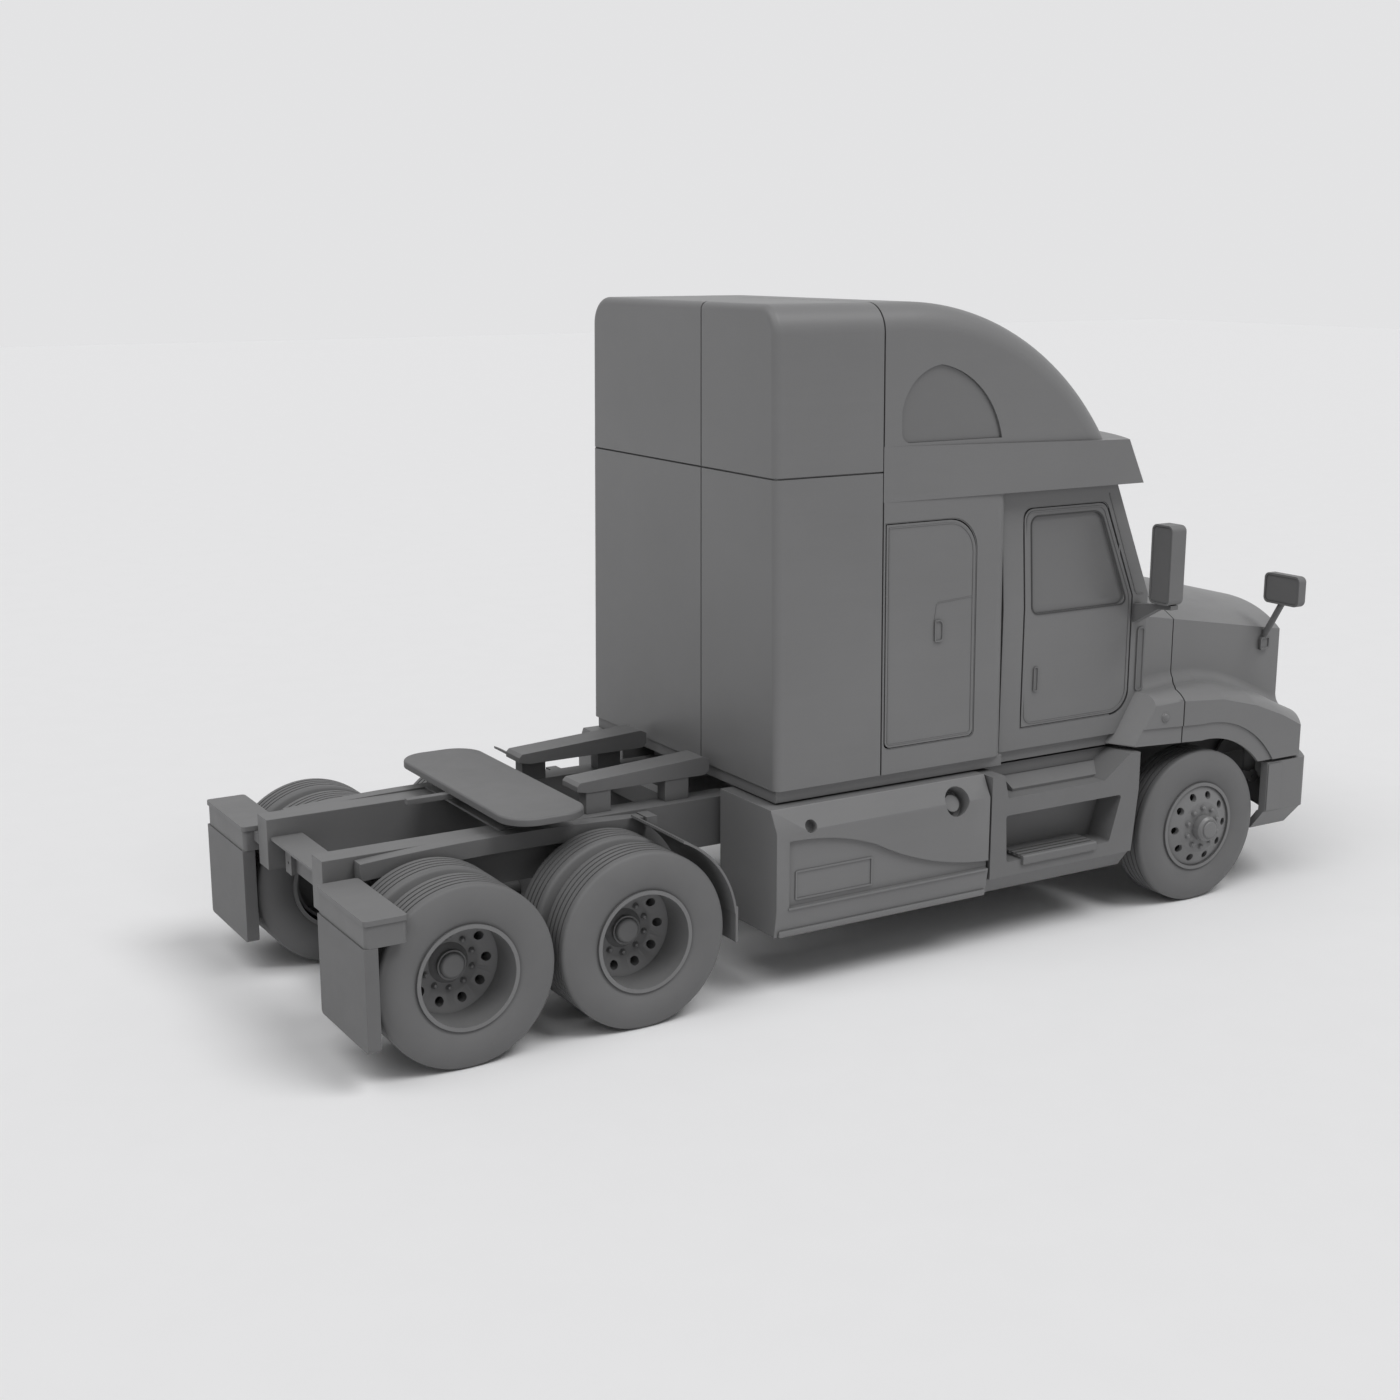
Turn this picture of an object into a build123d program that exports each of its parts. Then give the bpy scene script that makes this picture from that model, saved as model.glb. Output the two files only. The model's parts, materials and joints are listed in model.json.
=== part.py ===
import os
from build123d import *

# Long-haul sleeper tractor, sizes in millimetres.
# Stations run forward (+X) from the rearmost axle, Y is left, Z is up from the road.

# Tyres and wheels
tyre_diameter = 1020
tyre_width = 275
tread_width = 236
shoulder_drop = 20
shoulder_in = 26
bead_inset = 24
rim_diameter = 572
rim_flange = 8
rim_wall = 14
dual_gap = 45
drive_overall = 2468
steer_overall = 2372
hub_clearance = 7
running_gap = 0.3
hand_holes = 10
hand_hole_diameter = 52
hand_hole_circle = 428
spindle = 45
steer_spindle = 38
disc_thick = 28
hub_radius = 84
pad_radius = 165
hub_recess = 234
steer_dish = 30
hub_cap_proud = 90

# Axle stations
tandem_spacing = 1062
front_axle_x = 5278
kingpin_half = 930
eye_radius = 38
eye_half = 80
pin_radius = 18
ear_thick = 30
fork_thick = 25
axle_tube = 85
axle_bowl = 205
axle_seal = 240

# Frame
rail_rear_x = -530
rail_front_x = front_axle_x + 1122
rail_top = 1045
rail_height = 300
rail_width = 160
rail_half = 530
crossmember_height = 180
crossmember_thick = 60
shelf_thick = 15
tow_plate_half = 48
tow_plate_y = 255
tow_bolt_radius = 9
tow_bolt_pitch = 80

# Suspension
spring_thick = 100
spring_width = 92
front_spring_reach = 600

# Power unit
engine_half = 300
engine_low = 640
engine_high = 1430
gearbox_half = 200
gearbox_length = 1160
radiator_thick = 120
shaft_radius = 55

# Sleeper and roof
cab_bottom = 1200
floor_thick = 75
wall = 60
groove_width = 9
groove_depth = 14
sleeper_rear_x = front_axle_x - 3298
sleeper_seam_x = front_axle_x - 2558
sleeper_front_x = front_axle_x - 1618
sleeper_half_low = 1110
sleeper_half_high = 1060
sleeper_pillar_round = 100
roof_top = 3935
roof_corner = 170
roof_arc_x = front_axle_x - 2330
roof_arc_radius = 1800
roof_foot = 2810
band_height = 320
rear_seam_z = 2985
rear_seam_y = -280
rear_corner = 45
brow_proud = 22
brow_lean = 150
brow_fall = 45
brow_back = 136
brow_bow = 300
ceiling_thick = 40
moon_rear = 126
moon_rise = 440
moon_length = 734
moon_corner = 60

# Cab
cab_half = 1050
cab_half_top = 1000
window_rise = 720
cab_corner_x = front_axle_x - 438
cab_bow = 200
cab_rake = 260
door_gap = 12
door_rear_x = front_axle_x - 1448
door_front_x = front_axle_x - 578
door_sill = 140
door_head = 120
door_corner = 70
door_toe = 150
door_hinge_back = 100
door_hinge_in = 26
hinge_pin_radius = 6
hinge_pin_depth = 25
pane_inset = 14
pane_thick = 12
pane_margin = 50
screen_half = 900
screen_margin = 45

# Sleeper doors
locker_rear_x = sleeper_seam_x + 25
locker_front_x = sleeper_seam_x + 680
locker_sill = 160
locker_head = 130
locker_round = 200
locker_corner = 40
locker_hinge_back = 150
locker_hinge_y = 1070

# Hood and fenders
hood_rear_x = front_axle_x - 78
fender_seam_x = front_axle_x - 205
hood_gap = 10
nose_front_x = front_axle_x + 1322
hood_wall = 35
hood_half = 930
hood_taper = 0.2
crease_z = 1870
crease_fall = 0.183
crown_z = 2110
crown_fall = 0.2375
cove = 80
nose_bottom = 950
nose_bottom_half = 760
fender_half = 1200
fender_bottom = 885
fender_rear_x = front_axle_x - 700
fender_lean = 210
fender_turn = 90
arch_gap = 62
lip_width = 112
lip_depth = 10
hood_pivot_x = front_axle_x + 1142
hood_pivot_z = 550
hood_arm_y = 562
hood_arm_thick = 20
hood_arm_width = 50
hood_arm_reach = 420

# Bumper
bumper_front_x = front_axle_x + 1382
bow_radius = 1860
bumper_wall = 60
bumper_bottom = 520
bumper_top = 865
bumper_round = 45
valance_bottom = 380
valance_inset = 12
valance_tuck = 110
bumper_rear_x = front_axle_x + 590

# Side tanks and steps
tank_rear_x = sleeper_rear_x - 60
tank_front_x = front_axle_x - 1808
tank_outer = 1220
tank_inner = 600
tank_bottom = 360
tank_top = 1115
tank_shoulder = 130
tank_skirt = 165
wave_depth = 22
filler_radius = 88
cap_radius = 55
vent_radius = 38
step_gap = 12
step_front_x = front_axle_x - 648
step_bottom = 455
step_top = 1105
tread_high = 955
beam_depth = 110
tread_low = 545
tread_depth = 200
sill_bottom = 340
hanger_width = 120

# Rear guards
flap_rear_x = -600
flap_thick = 76
flap_inner = 620
flap_outer = 1295
flap_bottom = 235
flap_round = 25
guard_height = 150
guard_bottom = 800
guard_front_x = -363
guard_lip = 28
tyre_clear = 32
quarter_gap = 70
quarter_thick = 14

# Coupling
plate_x = 705
plate_length = 510
plate_half = 835
plate_round = 180
plate_thick = 45
plate_top = 1190
trunnion_z = 1100
trunnion_radius = 20
stand_thick = 14

# Mirrors and inside
hood_mirror_x = front_axle_x + 992
hood_mirror_z = 1965
hood_mirror_width = 310
hood_mirror_height = 208
hood_mirror_depth = 80
hood_mirror_y = 885
cab_mirror_low = 2070
cab_mirror_width = 180
cab_mirror_height = 500
cab_mirror_depth = 130
cab_mirror_y = 1305
mirror_corner = 40
mirror_nose = 22
mirror_arm = 22
mirror_glass_depth = 12
mirror_rim = 14
seat_width = 540
seat_length = 470
seat_height = 370
seat_back = 690
bunk_length = 700
bunk_height = 500
wheel_radius = 220

mid_x = (flap_rear_x + bumper_front_x) / 2
axle_z = tyre_diameter / 2
rail_bottom = rail_top - rail_height
rail_inner = rail_half - rail_width
band_top = roof_foot + band_height
belt_z = roof_foot - window_rise
door_bottom = cab_bottom + door_sill
door_top = roof_foot - door_head
locker_bottom = cab_bottom + locker_sill
locker_top = roof_foot - locker_head
far = 9000
os.makedirs("parts", exist_ok=True)


def block(x0, x1, y0, y1, z0, z1):
    return Pos((x0 + x1) / 2, (y0 + y1) / 2, (z0 + z1) / 2) * Box(x1 - x0, y1 - y0, z1 - z0)


# A closed outline: a pair is a line to that point, four numbers an arc through the first point.
def sheet(steps):
    edges = []
    here = steps[0]
    for step in steps[1:] + steps[:1]:
        if len(step) == 4:
            edges.append(ThreePointArc(here, step[:2], step[2:]))
        else:
            edges.append(Line(here, step))
        here = step[-2:]
    return make_face(edges)


def side(face, y0, y1):
    return extrude(Plane((0, y1, 0), x_dir=(1, 0, 0), z_dir=(0, -1, 0)) * face, amount=y1 - y0)


def plan(face, z0, z1):
    return extrude(Pos(0, 0, z0) * face, amount=z1 - z0)


def rib_plane(x):
    return Plane((x, 0, 0), x_dir=(0, 1, 0), z_dir=(1, 0, 0))


def front(face, x0, x1):
    return extrude(rib_plane(x0) * face, amount=x1 - x0)


def across(x, z, radius, y0, y1):
    return Pos(x, (y0 + y1) / 2, z) * Rot(90, 0, 0) * Cylinder(radius, y1 - y0)


def upright(x, y, radius, z0, z1):
    return Pos(x, y, (z0 + z1) / 2) * Cylinder(radius, z1 - z0)


def rod(start, end, radius):
    run = Vector(end) - Vector(start)
    return extrude(Plane(start, z_dir=run) * Circle(radius), amount=run.length)


def rounded(corners, radius):
    face = sheet(corners)
    return fillet(face.vertices(), radius)


def flip(piece):
    return mirror(piece, about=Plane.XZ)


def pair(piece):
    return piece + flip(piece)


def turned(profile):
    return revolve(sheet(profile), Axis.Y)


def save(name, piece):
    export_step(Pos(-mid_x, 0, 0) * piece, "parts/" + name + ".step")


# Tyres and wheels, turned about Y on the left side
bead = rim_diameter / 2
tread = tyre_diameter / 2
flange = bead + rim_flange
bead_face = tyre_width / 2 - bead_inset
barrel = bead - rim_wall
web_in = barrel + 3


def tyre(y_mid):
    half = tyre_width / 2
    crown = tread_width / 2
    shoulder = tread - shoulder_drop
    belly = (flange + shoulder) / 2
    return turned([
        (bead, y_mid - bead_face), (flange + 4, y_mid - bead_face),
        (belly, y_mid - half, shoulder, y_mid - crown), (tread, y_mid - crown + shoulder_in),
        (tread, y_mid + crown - shoulder_in), (shoulder, y_mid + crown),
        (belly, y_mid + half, flange + 4, y_mid + bead_face), (bead, y_mid + bead_face)])


def rim(y_mid):
    low = y_mid - bead_face
    high = y_mid + bead_face
    return turned([
        (bead, low), (flange, low), (flange, low - rim_wall), (barrel, low - rim_wall),
        (barrel, high + rim_wall), (flange, high + rim_wall), (flange, high), (bead, high)])


def ring_holes(y0, y1):
    hole = across(hand_hole_circle / 2, 0, hand_hole_diameter / 2, y0, y1)
    return [Rot(0, turn * 360 / hand_holes, 0) * hole for turn in range(hand_holes)]


dual_outer = drive_overall / 2 - tyre_width / 2
dual_inner = dual_outer - tyre_width - dual_gap
dual_mid = (dual_outer + dual_inner) / 2
disc_half = disc_thick / 2
bore = spindle + running_gap
hub_face = drive_overall / 2 - hub_recess
# Drive hub and disc: radius, distance out from the middle of the twin wheels
drive_hub = [
    (bore, -axle_seal), (hub_radius + 26, -axle_seal), (hub_radius + 26, -disc_half),
    (hub_radius + 81, -disc_half), (web_in, -disc_half - 40), (web_in, disc_half + 40),
    (hub_radius + 81, disc_half), (hub_radius + 31, disc_half), (hub_radius, disc_half + 26),
    (hub_radius, hub_face - dual_mid), (0, hub_face - dual_mid), (0, disc_half + 6), (bore, disc_half + 6)]
drive_wheel = rim(dual_outer) + rim(dual_inner)
drive_wheel += turned([(radius, dual_mid + out) for radius, out in drive_hub])
drive_wheel -= ring_holes(dual_mid - 80, dual_mid + 80)

steer_mid = steer_overall / 2 - tyre_width / 2
steer_face = steer_overall / 2 - steer_dish
steer_bore = steer_spindle + running_gap
cap_out = steer_dish + hub_cap_proud
sleeve_in = steer_mid - 20 - steer_face
spindle_end = steer_face - 8
# Front hub and crowned disc: radius, distance out from the wheel's face
steer_hub = [
    (0, cap_out), (hub_radius - 14, cap_out), (hub_radius, cap_out - 16), (hub_radius, 52), (pad_radius, 46),
    (pad_radius + 20, 36), (web_in, 4), (web_in, -36), (pad_radius + 20, 6), (pad_radius, 16),
    (hub_radius + 16, 16), (hub_radius + 16, sleeve_in), (steer_bore, sleeve_in), (steer_bore, -8), (0, -8)]
steer_wheel = rim(steer_mid) + turned([(radius, steer_face + out) for radius, out in steer_hub])
steer_wheel -= ring_holes(steer_face - 90, steer_face + 60)

twin_tyres = tyre(dual_outer) + tyre(dual_inner)
wheel_table = [
    ("tyres_rear", 0, twin_tyres), ("wheels_rear", 0, drive_wheel),
    ("tyres_middle", tandem_spacing, twin_tyres), ("wheels_middle", tandem_spacing, drive_wheel),
    ("tyre_front", front_axle_x, tyre(steer_mid)), ("wheel_front", front_axle_x, steer_wheel)]
for name, station, piece in wheel_table:
    placed = Pos(station, 0, axle_z) * piece
    save(name + "_left", placed)
    save(name + "_right", flip(placed))

# Steering knuckles: a fork round the axle eye, a king pin and the wheel spindle
fork_y = kingpin_half + eye_radius + hub_clearance
fork_end = fork_y + fork_thick
ear_low = axle_z - eye_half - hub_clearance - ear_thick
ear_high = axle_z + eye_half + hub_clearance
fork_x0 = front_axle_x - eye_radius
fork_x1 = front_axle_x + eye_radius
knuckle = upright(front_axle_x, kingpin_half, pin_radius, ear_low, ear_high + ear_thick)
for ear_z in (ear_low, ear_high):
    knuckle += upright(front_axle_x, kingpin_half, eye_radius, ear_z, ear_z + ear_thick)
    knuckle += block(fork_x0, fork_x1, kingpin_half, fork_end, ear_z, ear_z + ear_thick)
knuckle += block(fork_x0, fork_x1, fork_y, fork_end, ear_low, ear_high + ear_thick)
knuckle += across(front_axle_x, axle_z, steer_spindle, fork_y, spindle_end - hub_clearance)
save("knuckle_left", knuckle)
save("knuckle_right", flip(knuckle))

# Axles
beam_top = axle_z - 5
beam_bottom = beam_top - 100
neck_y = kingpin_half - 130
front_axle = block(front_axle_x - 50, front_axle_x + 50, -neck_y, neck_y, beam_bottom, beam_top)
neck = block(front_axle_x - 40, front_axle_x + 40, neck_y, kingpin_half, beam_bottom + 20, beam_top + 45)
neck += upright(front_axle_x, kingpin_half, eye_radius, axle_z - eye_half, axle_z + eye_half)
neck -= upright(front_axle_x, kingpin_half, pin_radius + running_gap, 0, tyre_diameter)
save("front_axle", front_axle + pair(neck))

tube_end = dual_mid - axle_seal - hub_clearance
axle = pair(turned([
    (0, 0), (axle_bowl, 0), (axle_bowl - 25, 110), (axle_tube + 35, 200), (axle_tube, 260),
    (axle_tube, tube_end), (spindle, tube_end), (spindle, dual_mid + 10), (0, dual_mid + 10)]))
rear_axle = Pos(0, 0, axle_z) * axle
middle_axle = Pos(tandem_spacing, 0, axle_z) * axle
save("drive_axles", rear_axle + middle_axle)

# Frame rails, cross members and the hood hinge plates on the rail ends
save("frame_rails", pair(block(rail_rear_x, rail_front_x, rail_inner, rail_half, rail_bottom, rail_top)))
cross_high = rail_top - 105
cross_low = cross_high - crossmember_height
cross_x = rail_rear_x + 110
tow_x = cross_x - 30
cross = block(cross_x, cross_x + crossmember_thick, -rail_inner, rail_inner, cross_low, cross_high)
cross += block(rail_rear_x + 20, cross_x + 100, -rail_inner, rail_inner, cross_high - shelf_thick, cross_high)
for hang_y in (-tow_plate_y, tow_plate_y):
    cross += block(tow_x, cross_x, hang_y - tow_plate_half, hang_y + tow_plate_half, rail_bottom, cross_high)
    for bolt_z in (cross_low + 50, cross_low + 50 + tow_bolt_pitch):
        cross -= Pos(cross_x, hang_y, bolt_z) * Rot(0, 90, 0) * Cylinder(tow_bolt_radius, 400)
for bar_x in (1750, 2500, 3300):
    cross += block(bar_x - 40, bar_x + 40, -rail_inner, rail_inner, rail_top - 150, rail_top - 20)
save("crossmembers", cross)

arm_low = hood_arm_y - hood_arm_thick / 2
arm_high = hood_arm_y + hood_arm_thick / 2
hinge_side = rounded([
    (hood_pivot_x - 70, hood_pivot_z - 45), (hood_pivot_x + 40, hood_pivot_z - 45),
    (hood_pivot_x + 40, rail_bottom + 60), (rail_front_x, rail_top - 60),
    (hood_pivot_x - 90, rail_top - 60)], 25)
hinge_plate = side(hinge_side, rail_half, arm_low - hub_clearance)
hinge_plate += across(hood_pivot_x, hood_pivot_z, pin_radius, rail_half, arm_high + hood_arm_thick / 2)
save("hood_brackets", pair(hinge_plate))

# Rear spring packs bowed over both axles, with seats on the axle tubes
pack_low = rail_top - spring_thick - 20
pack_high = rail_top - 20
pack_x0 = -350
pack_x1 = tandem_spacing + 328
pack_mid = (pack_x0 + pack_x1) / 2
pack_side = sheet([
    (pack_x0, pack_low), (pack_mid, pack_low + 30, pack_x1, pack_low),
    (pack_x1, pack_high), (pack_mid, pack_high + 30, pack_x0, pack_high)])
pack = side(pack_side, rail_half, rail_half + spring_width)
for station in (0, tandem_spacing):
    seat = block(station - 120, station + 120, rail_inner + 10, rail_half - 10, axle_z + 40, rail_bottom)
    pack += seat - across(station, axle_z, axle_tube, 0, far)
save("rear_suspension", pair(pack))
leaf_x0 = front_axle_x - front_spring_reach
leaf_x1 = front_axle_x + front_spring_reach
leaf_end = rail_bottom - 60
leaf_side = sheet([
    (leaf_x0, rail_bottom), (leaf_x0, leaf_end), (front_axle_x, beam_top, leaf_x1, leaf_end),
    (leaf_x1, rail_bottom), (leaf_x1 - 100, rail_bottom),
    (front_axle_x, beam_top + 75, leaf_x0 + 100, rail_bottom)])
save("front_springs", pair(side(leaf_side, rail_half - 130, rail_half - 30)))

# Power unit
bell_x = front_axle_x - 190
gearbox_x = bell_x - gearbox_length
engine = block(bell_x, bell_x + 890, -engine_half, engine_half, engine_low, engine_high)
engine += block(gearbox_x, bell_x, -gearbox_half, gearbox_half, engine_low, rail_top - 5)
engine += block(bell_x + 90, bell_x + 340, -rail_inner, rail_inner, rail_bottom + 20, rail_bottom + 140)
save("engine_gearbox", engine)
radiator_x = front_axle_x + 840
save("radiator", block(radiator_x, radiator_x + radiator_thick, -rail_inner, rail_inner, 700, 1480))
shaft_z = engine_low + 120
shafts = rod((gearbox_x, 0, shaft_z), (tandem_spacing + 200, 0, axle_z + 60), shaft_radius)
shafts = shafts - middle_axle - engine
link = rod((tandem_spacing - 150, 0, axle_z), (150, 0, axle_z), shaft_radius - 5)
save("propshafts", shafts + (link - middle_axle - rear_axle))

# Side tank covers with a leaning shoulder, a wave and two filler pockets
shoulder_z = tank_top - tank_shoulder
skirt_z = tank_bottom + tank_skirt
tank_section = sheet([
    (tank_inner, tank_bottom), (tank_outer - 25, tank_bottom), (tank_outer, skirt_z),
    (tank_outer, shoulder_z), (tank_outer - 70, tank_top), (tank_inner, tank_top)])
tank = front(tank_section, tank_rear_x, tank_front_x)
wave_x = tank_rear_x + 90
wave = sheet([
    (wave_x, skirt_z + 8), (wave_x, shoulder_z - 55),
    (wave_x + 260, shoulder_z - 70, wave_x + 610, shoulder_z - 165),
    (wave_x + 1010, shoulder_z - 330, tank_front_x + 10, shoulder_z - 405), (tank_front_x + 10, skirt_z + 8)])
tank -= side(wave, tank_outer - wave_depth, far)
filler_x = tank_front_x - 250
pocket = Pos(filler_x, tank_outer - 30, shoulder_z) * Rot(-62, 0, 0)
tank -= pocket * Cylinder(filler_radius, 150)
tank += pocket * Pos(0, 0, -75) * Cylinder(cap_radius, 80)
tank -= Pos(tank_rear_x + 240, tank_outer, shoulder_z + 20) * Rot(-70, 0, 0) * Cylinder(vent_radius, 120)
for hanger_x in (tank_rear_x + 290, tank_front_x - 410):
    tank += block(hanger_x, hanger_x + hanger_width, rail_half, tank_inner, rail_top - 220, rail_top - 40)
save("side_tanks", pair(tank))

# Two-tread entry steps over a leaning sill
step_rear_x = tank_front_x + step_gap
step_inner = tank_inner + 80
saddle_x = step_rear_x + 130
step_section = sheet([
    (step_inner, sill_bottom), (tank_outer - 100, sill_bottom), (tank_outer - 20, step_bottom),
    (tank_outer, step_bottom), (tank_outer, step_top), (step_inner, step_top)])
step = front(step_section, step_rear_x, step_front_x + 55)
lean_cut = sheet([
    (step_front_x, sill_bottom), (step_front_x + 80, sill_bottom), (step_front_x + 80, step_top)])
step -= side(lean_cut, 0, far)
saddle = sheet([
    (saddle_x, tread_high), (step_front_x - 240, tread_high), (step_front_x - 20, step_top + 10),
    (saddle_x - 40, step_top + 10)])
step -= side(saddle, tank_outer - tread_depth - 30, far)
foot_hole = rounded([
    (saddle_x, tread_low), (step_front_x - 180, tread_low), (step_front_x - 90, tread_high - beam_depth),
    (saddle_x - 15, tread_high - beam_depth)], 18)
step -= side(foot_hole, tank_outer - tread_depth, far)
ramp = sheet([(tank_outer - 220, tread_high), (tank_outer - 110, tread_high),
              (tank_outer - 110, tread_high + 18), (tank_outer - 220, tread_high + 75)])
step += front(ramp, saddle_x + 120, step_front_x - 130)
plank_x0 = step_rear_x + 250
plank_x1 = step_front_x - 300
plank = block(plank_x0, plank_x1, tank_outer - tread_depth, tank_outer + 18, tread_low - 35, tread_low + 26)
plank = fillet(plank.edges().filter_by(Axis.X).group_by(Axis.Y)[-1], 14)
for groove in range(3):
    groove_y = tank_outer - 24 - groove * 45
    plank -= block(plank_x0, plank_x1, groove_y - 8, groove_y + 8, tread_low + 12, tread_low + 27)
step += plank
for hanger_x in (step_rear_x + 200, step_front_x - 320):
    step += block(hanger_x, hanger_x + hanger_width, rail_half, step_inner, rail_top - 220, rail_top - 80)
save("cab_steps", pair(step))

# Rear mudguards: a shelf cut clear of the tyre, its carrier arm and the hanging flap
guard_top = guard_bottom + guard_height
guard_in = flap_inner - 13
guard_out = flap_outer + 5
guard = block(flap_rear_x + 8, guard_front_x, guard_in + 8, guard_out - 8, guard_bottom, guard_top)
lid = block(flap_rear_x, guard_front_x + 4, guard_in, guard_out, guard_top - guard_lip, guard_top)
guard = fillet(guard.edges().filter_by(Axis.Z), flap_round)
guard += fillet(lid.edges().filter_by(Axis.Z), flap_round)
guard -= across(0, axle_z, tread + tyre_clear, 0, drive_overall / 2 + 12)
guard += block(rail_rear_x, rail_rear_x + 60, rail_half, guard_in + 8, guard_bottom + 60, guard_bottom + 120)
save("mudguard_shelves", pair(guard))
flap = block(flap_rear_x, flap_rear_x + flap_thick, flap_inner, flap_outer, flap_bottom, guard_bottom)
flap = fillet(flap.edges().filter_by(Axis.X).group_by(Axis.Z)[0], flap_round)
save("mudflaps", pair(flap))

# Quarter fenders ahead of the middle axle
guard_radius = tread + quarter_gap
quarter_in = rail_half + spring_width + 3
quarter_out = flap_outer - 70
quarter = across(tandem_spacing, axle_z, guard_radius + quarter_thick, quarter_in, quarter_out)
quarter = quarter & block(tandem_spacing + 240, far, 0, far, axle_z + 60, far)
apron_x = tandem_spacing + guard_radius
quarter += block(apron_x, apron_x + quarter_thick + 2, quarter_in, quarter_out, axle_z - 110, axle_z + 100)
quarter += block(apron_x - 250, apron_x - 180, rail_half, quarter_in + 25, axle_z + 440, axle_z + 520)
quarter -= across(tandem_spacing, axle_z, guard_radius, 0, far)
save("quarter_fenders", pair(quarter))

# Deck beams behind the sleeper
deck_start = plate_x + plate_length / 2 + 75
deck_end = sleeper_rear_x - 60
deck_low = plate_top - 18
deck_high = deck_low + 112
deck_side = sheet([
    (deck_start, deck_low + 15), (deck_start + 70, deck_low), (deck_end - 30, deck_low),
    (deck_end, deck_low + 25), (deck_end, deck_high - 20), (deck_end - 40, deck_high),
    (deck_start + 20, deck_high - 46), (deck_start, deck_high - 66)])
deck = side(deck_side, rail_inner - 85, rail_inner + 105)
for post_x in (deck_start + 60, deck_end - 300):
    deck += block(post_x, post_x + 160, rail_inner + 5, rail_inner + 100, rail_top, deck_low + 20)
save("deck_beams", pair(deck))

# Coupling: a stand on the rails, and a plate that pitches on two trunnions
stand_half = 190
ear_radius = trunnion_radius + 15
ear_in = rail_inner + 20
ear_out = ear_in + 30
stand_top = rail_top + stand_thick
stand = block(plate_x - stand_half, plate_x + stand_half, -rail_half, rail_half, rail_top, stand_top)
ear = across(plate_x, trunnion_z, ear_radius, ear_in, ear_out)
ear += block(plate_x - 70, plate_x + 70, ear_in, ear_out, rail_top, rail_top + 30)
ear += block(plate_x - ear_radius, plate_x + ear_radius, ear_in, ear_out, rail_top, trunnion_z)
ear += across(plate_x, trunnion_z, trunnion_radius, ear_in, ear_out + 70)
save("coupling_stand", stand + pair(ear))
plate_low = plate_top - plate_thick
half_length = plate_length / 2
plate_plan = rounded([
    (plate_x - half_length, -plate_half), (plate_x + half_length, -plate_half),
    (plate_x + half_length, plate_half), (plate_x - half_length, plate_half)], plate_round)
plate = plan(plate_plan, plate_low, plate_top)
plate = chamfer(plate.edges().group_by(Axis.Z)[-1], 8)
lug_in = ear_out + 12
lug_out = lug_in + 46
lug = block(plate_x - 60, plate_x + 60, lug_in, lug_out, trunnion_z, plate_low)
lug += across(plate_x, trunnion_z, trunnion_radius + 14, lug_in, lug_out)
lug -= across(plate_x, trunnion_z, trunnion_radius + running_gap, 0, far)
handle = block(plate_x - 120, plate_x - 90, 300, plate_half + 40, plate_low - 34, plate_low)
lever_x = plate_x - half_length
handle += block(lever_x - 255, lever_x + 40, 20, 70, plate_low - 34, plate_low)
save("coupling_plate", plate + pair(lug) + handle)


# Bumper, bowed in plan, with a set-back valance and stubs to the rail ends
def bow(front_x, half, rear_x):
    corner_x = front_x - bow_radius + (bow_radius ** 2 - half ** 2) ** 0.5
    return sheet([(rear_x, -half), (corner_x, -half), (front_x, 0, corner_x, half), (rear_x, half)])


def valance(inset, rear_x):
    faces = []
    step_in = inset + valance_inset
    for z, tuck in ((bumper_bottom, step_in), (valance_bottom, step_in + valance_tuck)):
        faces.append(Pos(0, 0, z) * bow(bumper_front_x - tuck, fender_half - tuck, rear_x))
    return loft(faces, ruled=True)


bumper = plan(bow(bumper_front_x, fender_half, bumper_rear_x), bumper_bottom, bumper_top)
bumper = fillet(bumper.edges().filter_by(Axis.Z).group_by(Axis.X)[-1], bumper_round)
bumper -= plan(bow(bumper_front_x - bumper_wall, fender_half - bumper_wall, bumper_rear_x - 10), 0, far)
bumper += valance(0, bumper_rear_x) - valance(bumper_wall, bumper_rear_x - 10)
stub_x = bumper_front_x - bumper_wall - 20
stub = block(rail_front_x, stub_x, rail_inner + 20, rail_half - 40, rail_bottom + 15, rail_bottom + 105)
save("bumper", bumper + pair(stub))

# Cab floor on four mounts
floor_low = cab_bottom - floor_thick
bunk_floor = sleeper_half_low - 30
floor = block(sleeper_rear_x + 20, sleeper_front_x, -bunk_floor, bunk_floor, floor_low, cab_bottom)
floor += block(sleeper_front_x, cab_corner_x - 20, -cab_half + 30, cab_half - 30, floor_low, cab_bottom)
for mount_x in (sleeper_rear_x + 200, cab_corner_x - 462):
    foot = block(mount_x - 80, mount_x + 80, rail_inner + 20, rail_half - 20, rail_top, floor_low)
    floor += pair(foot)
save("cab_floor", floor)


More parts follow.
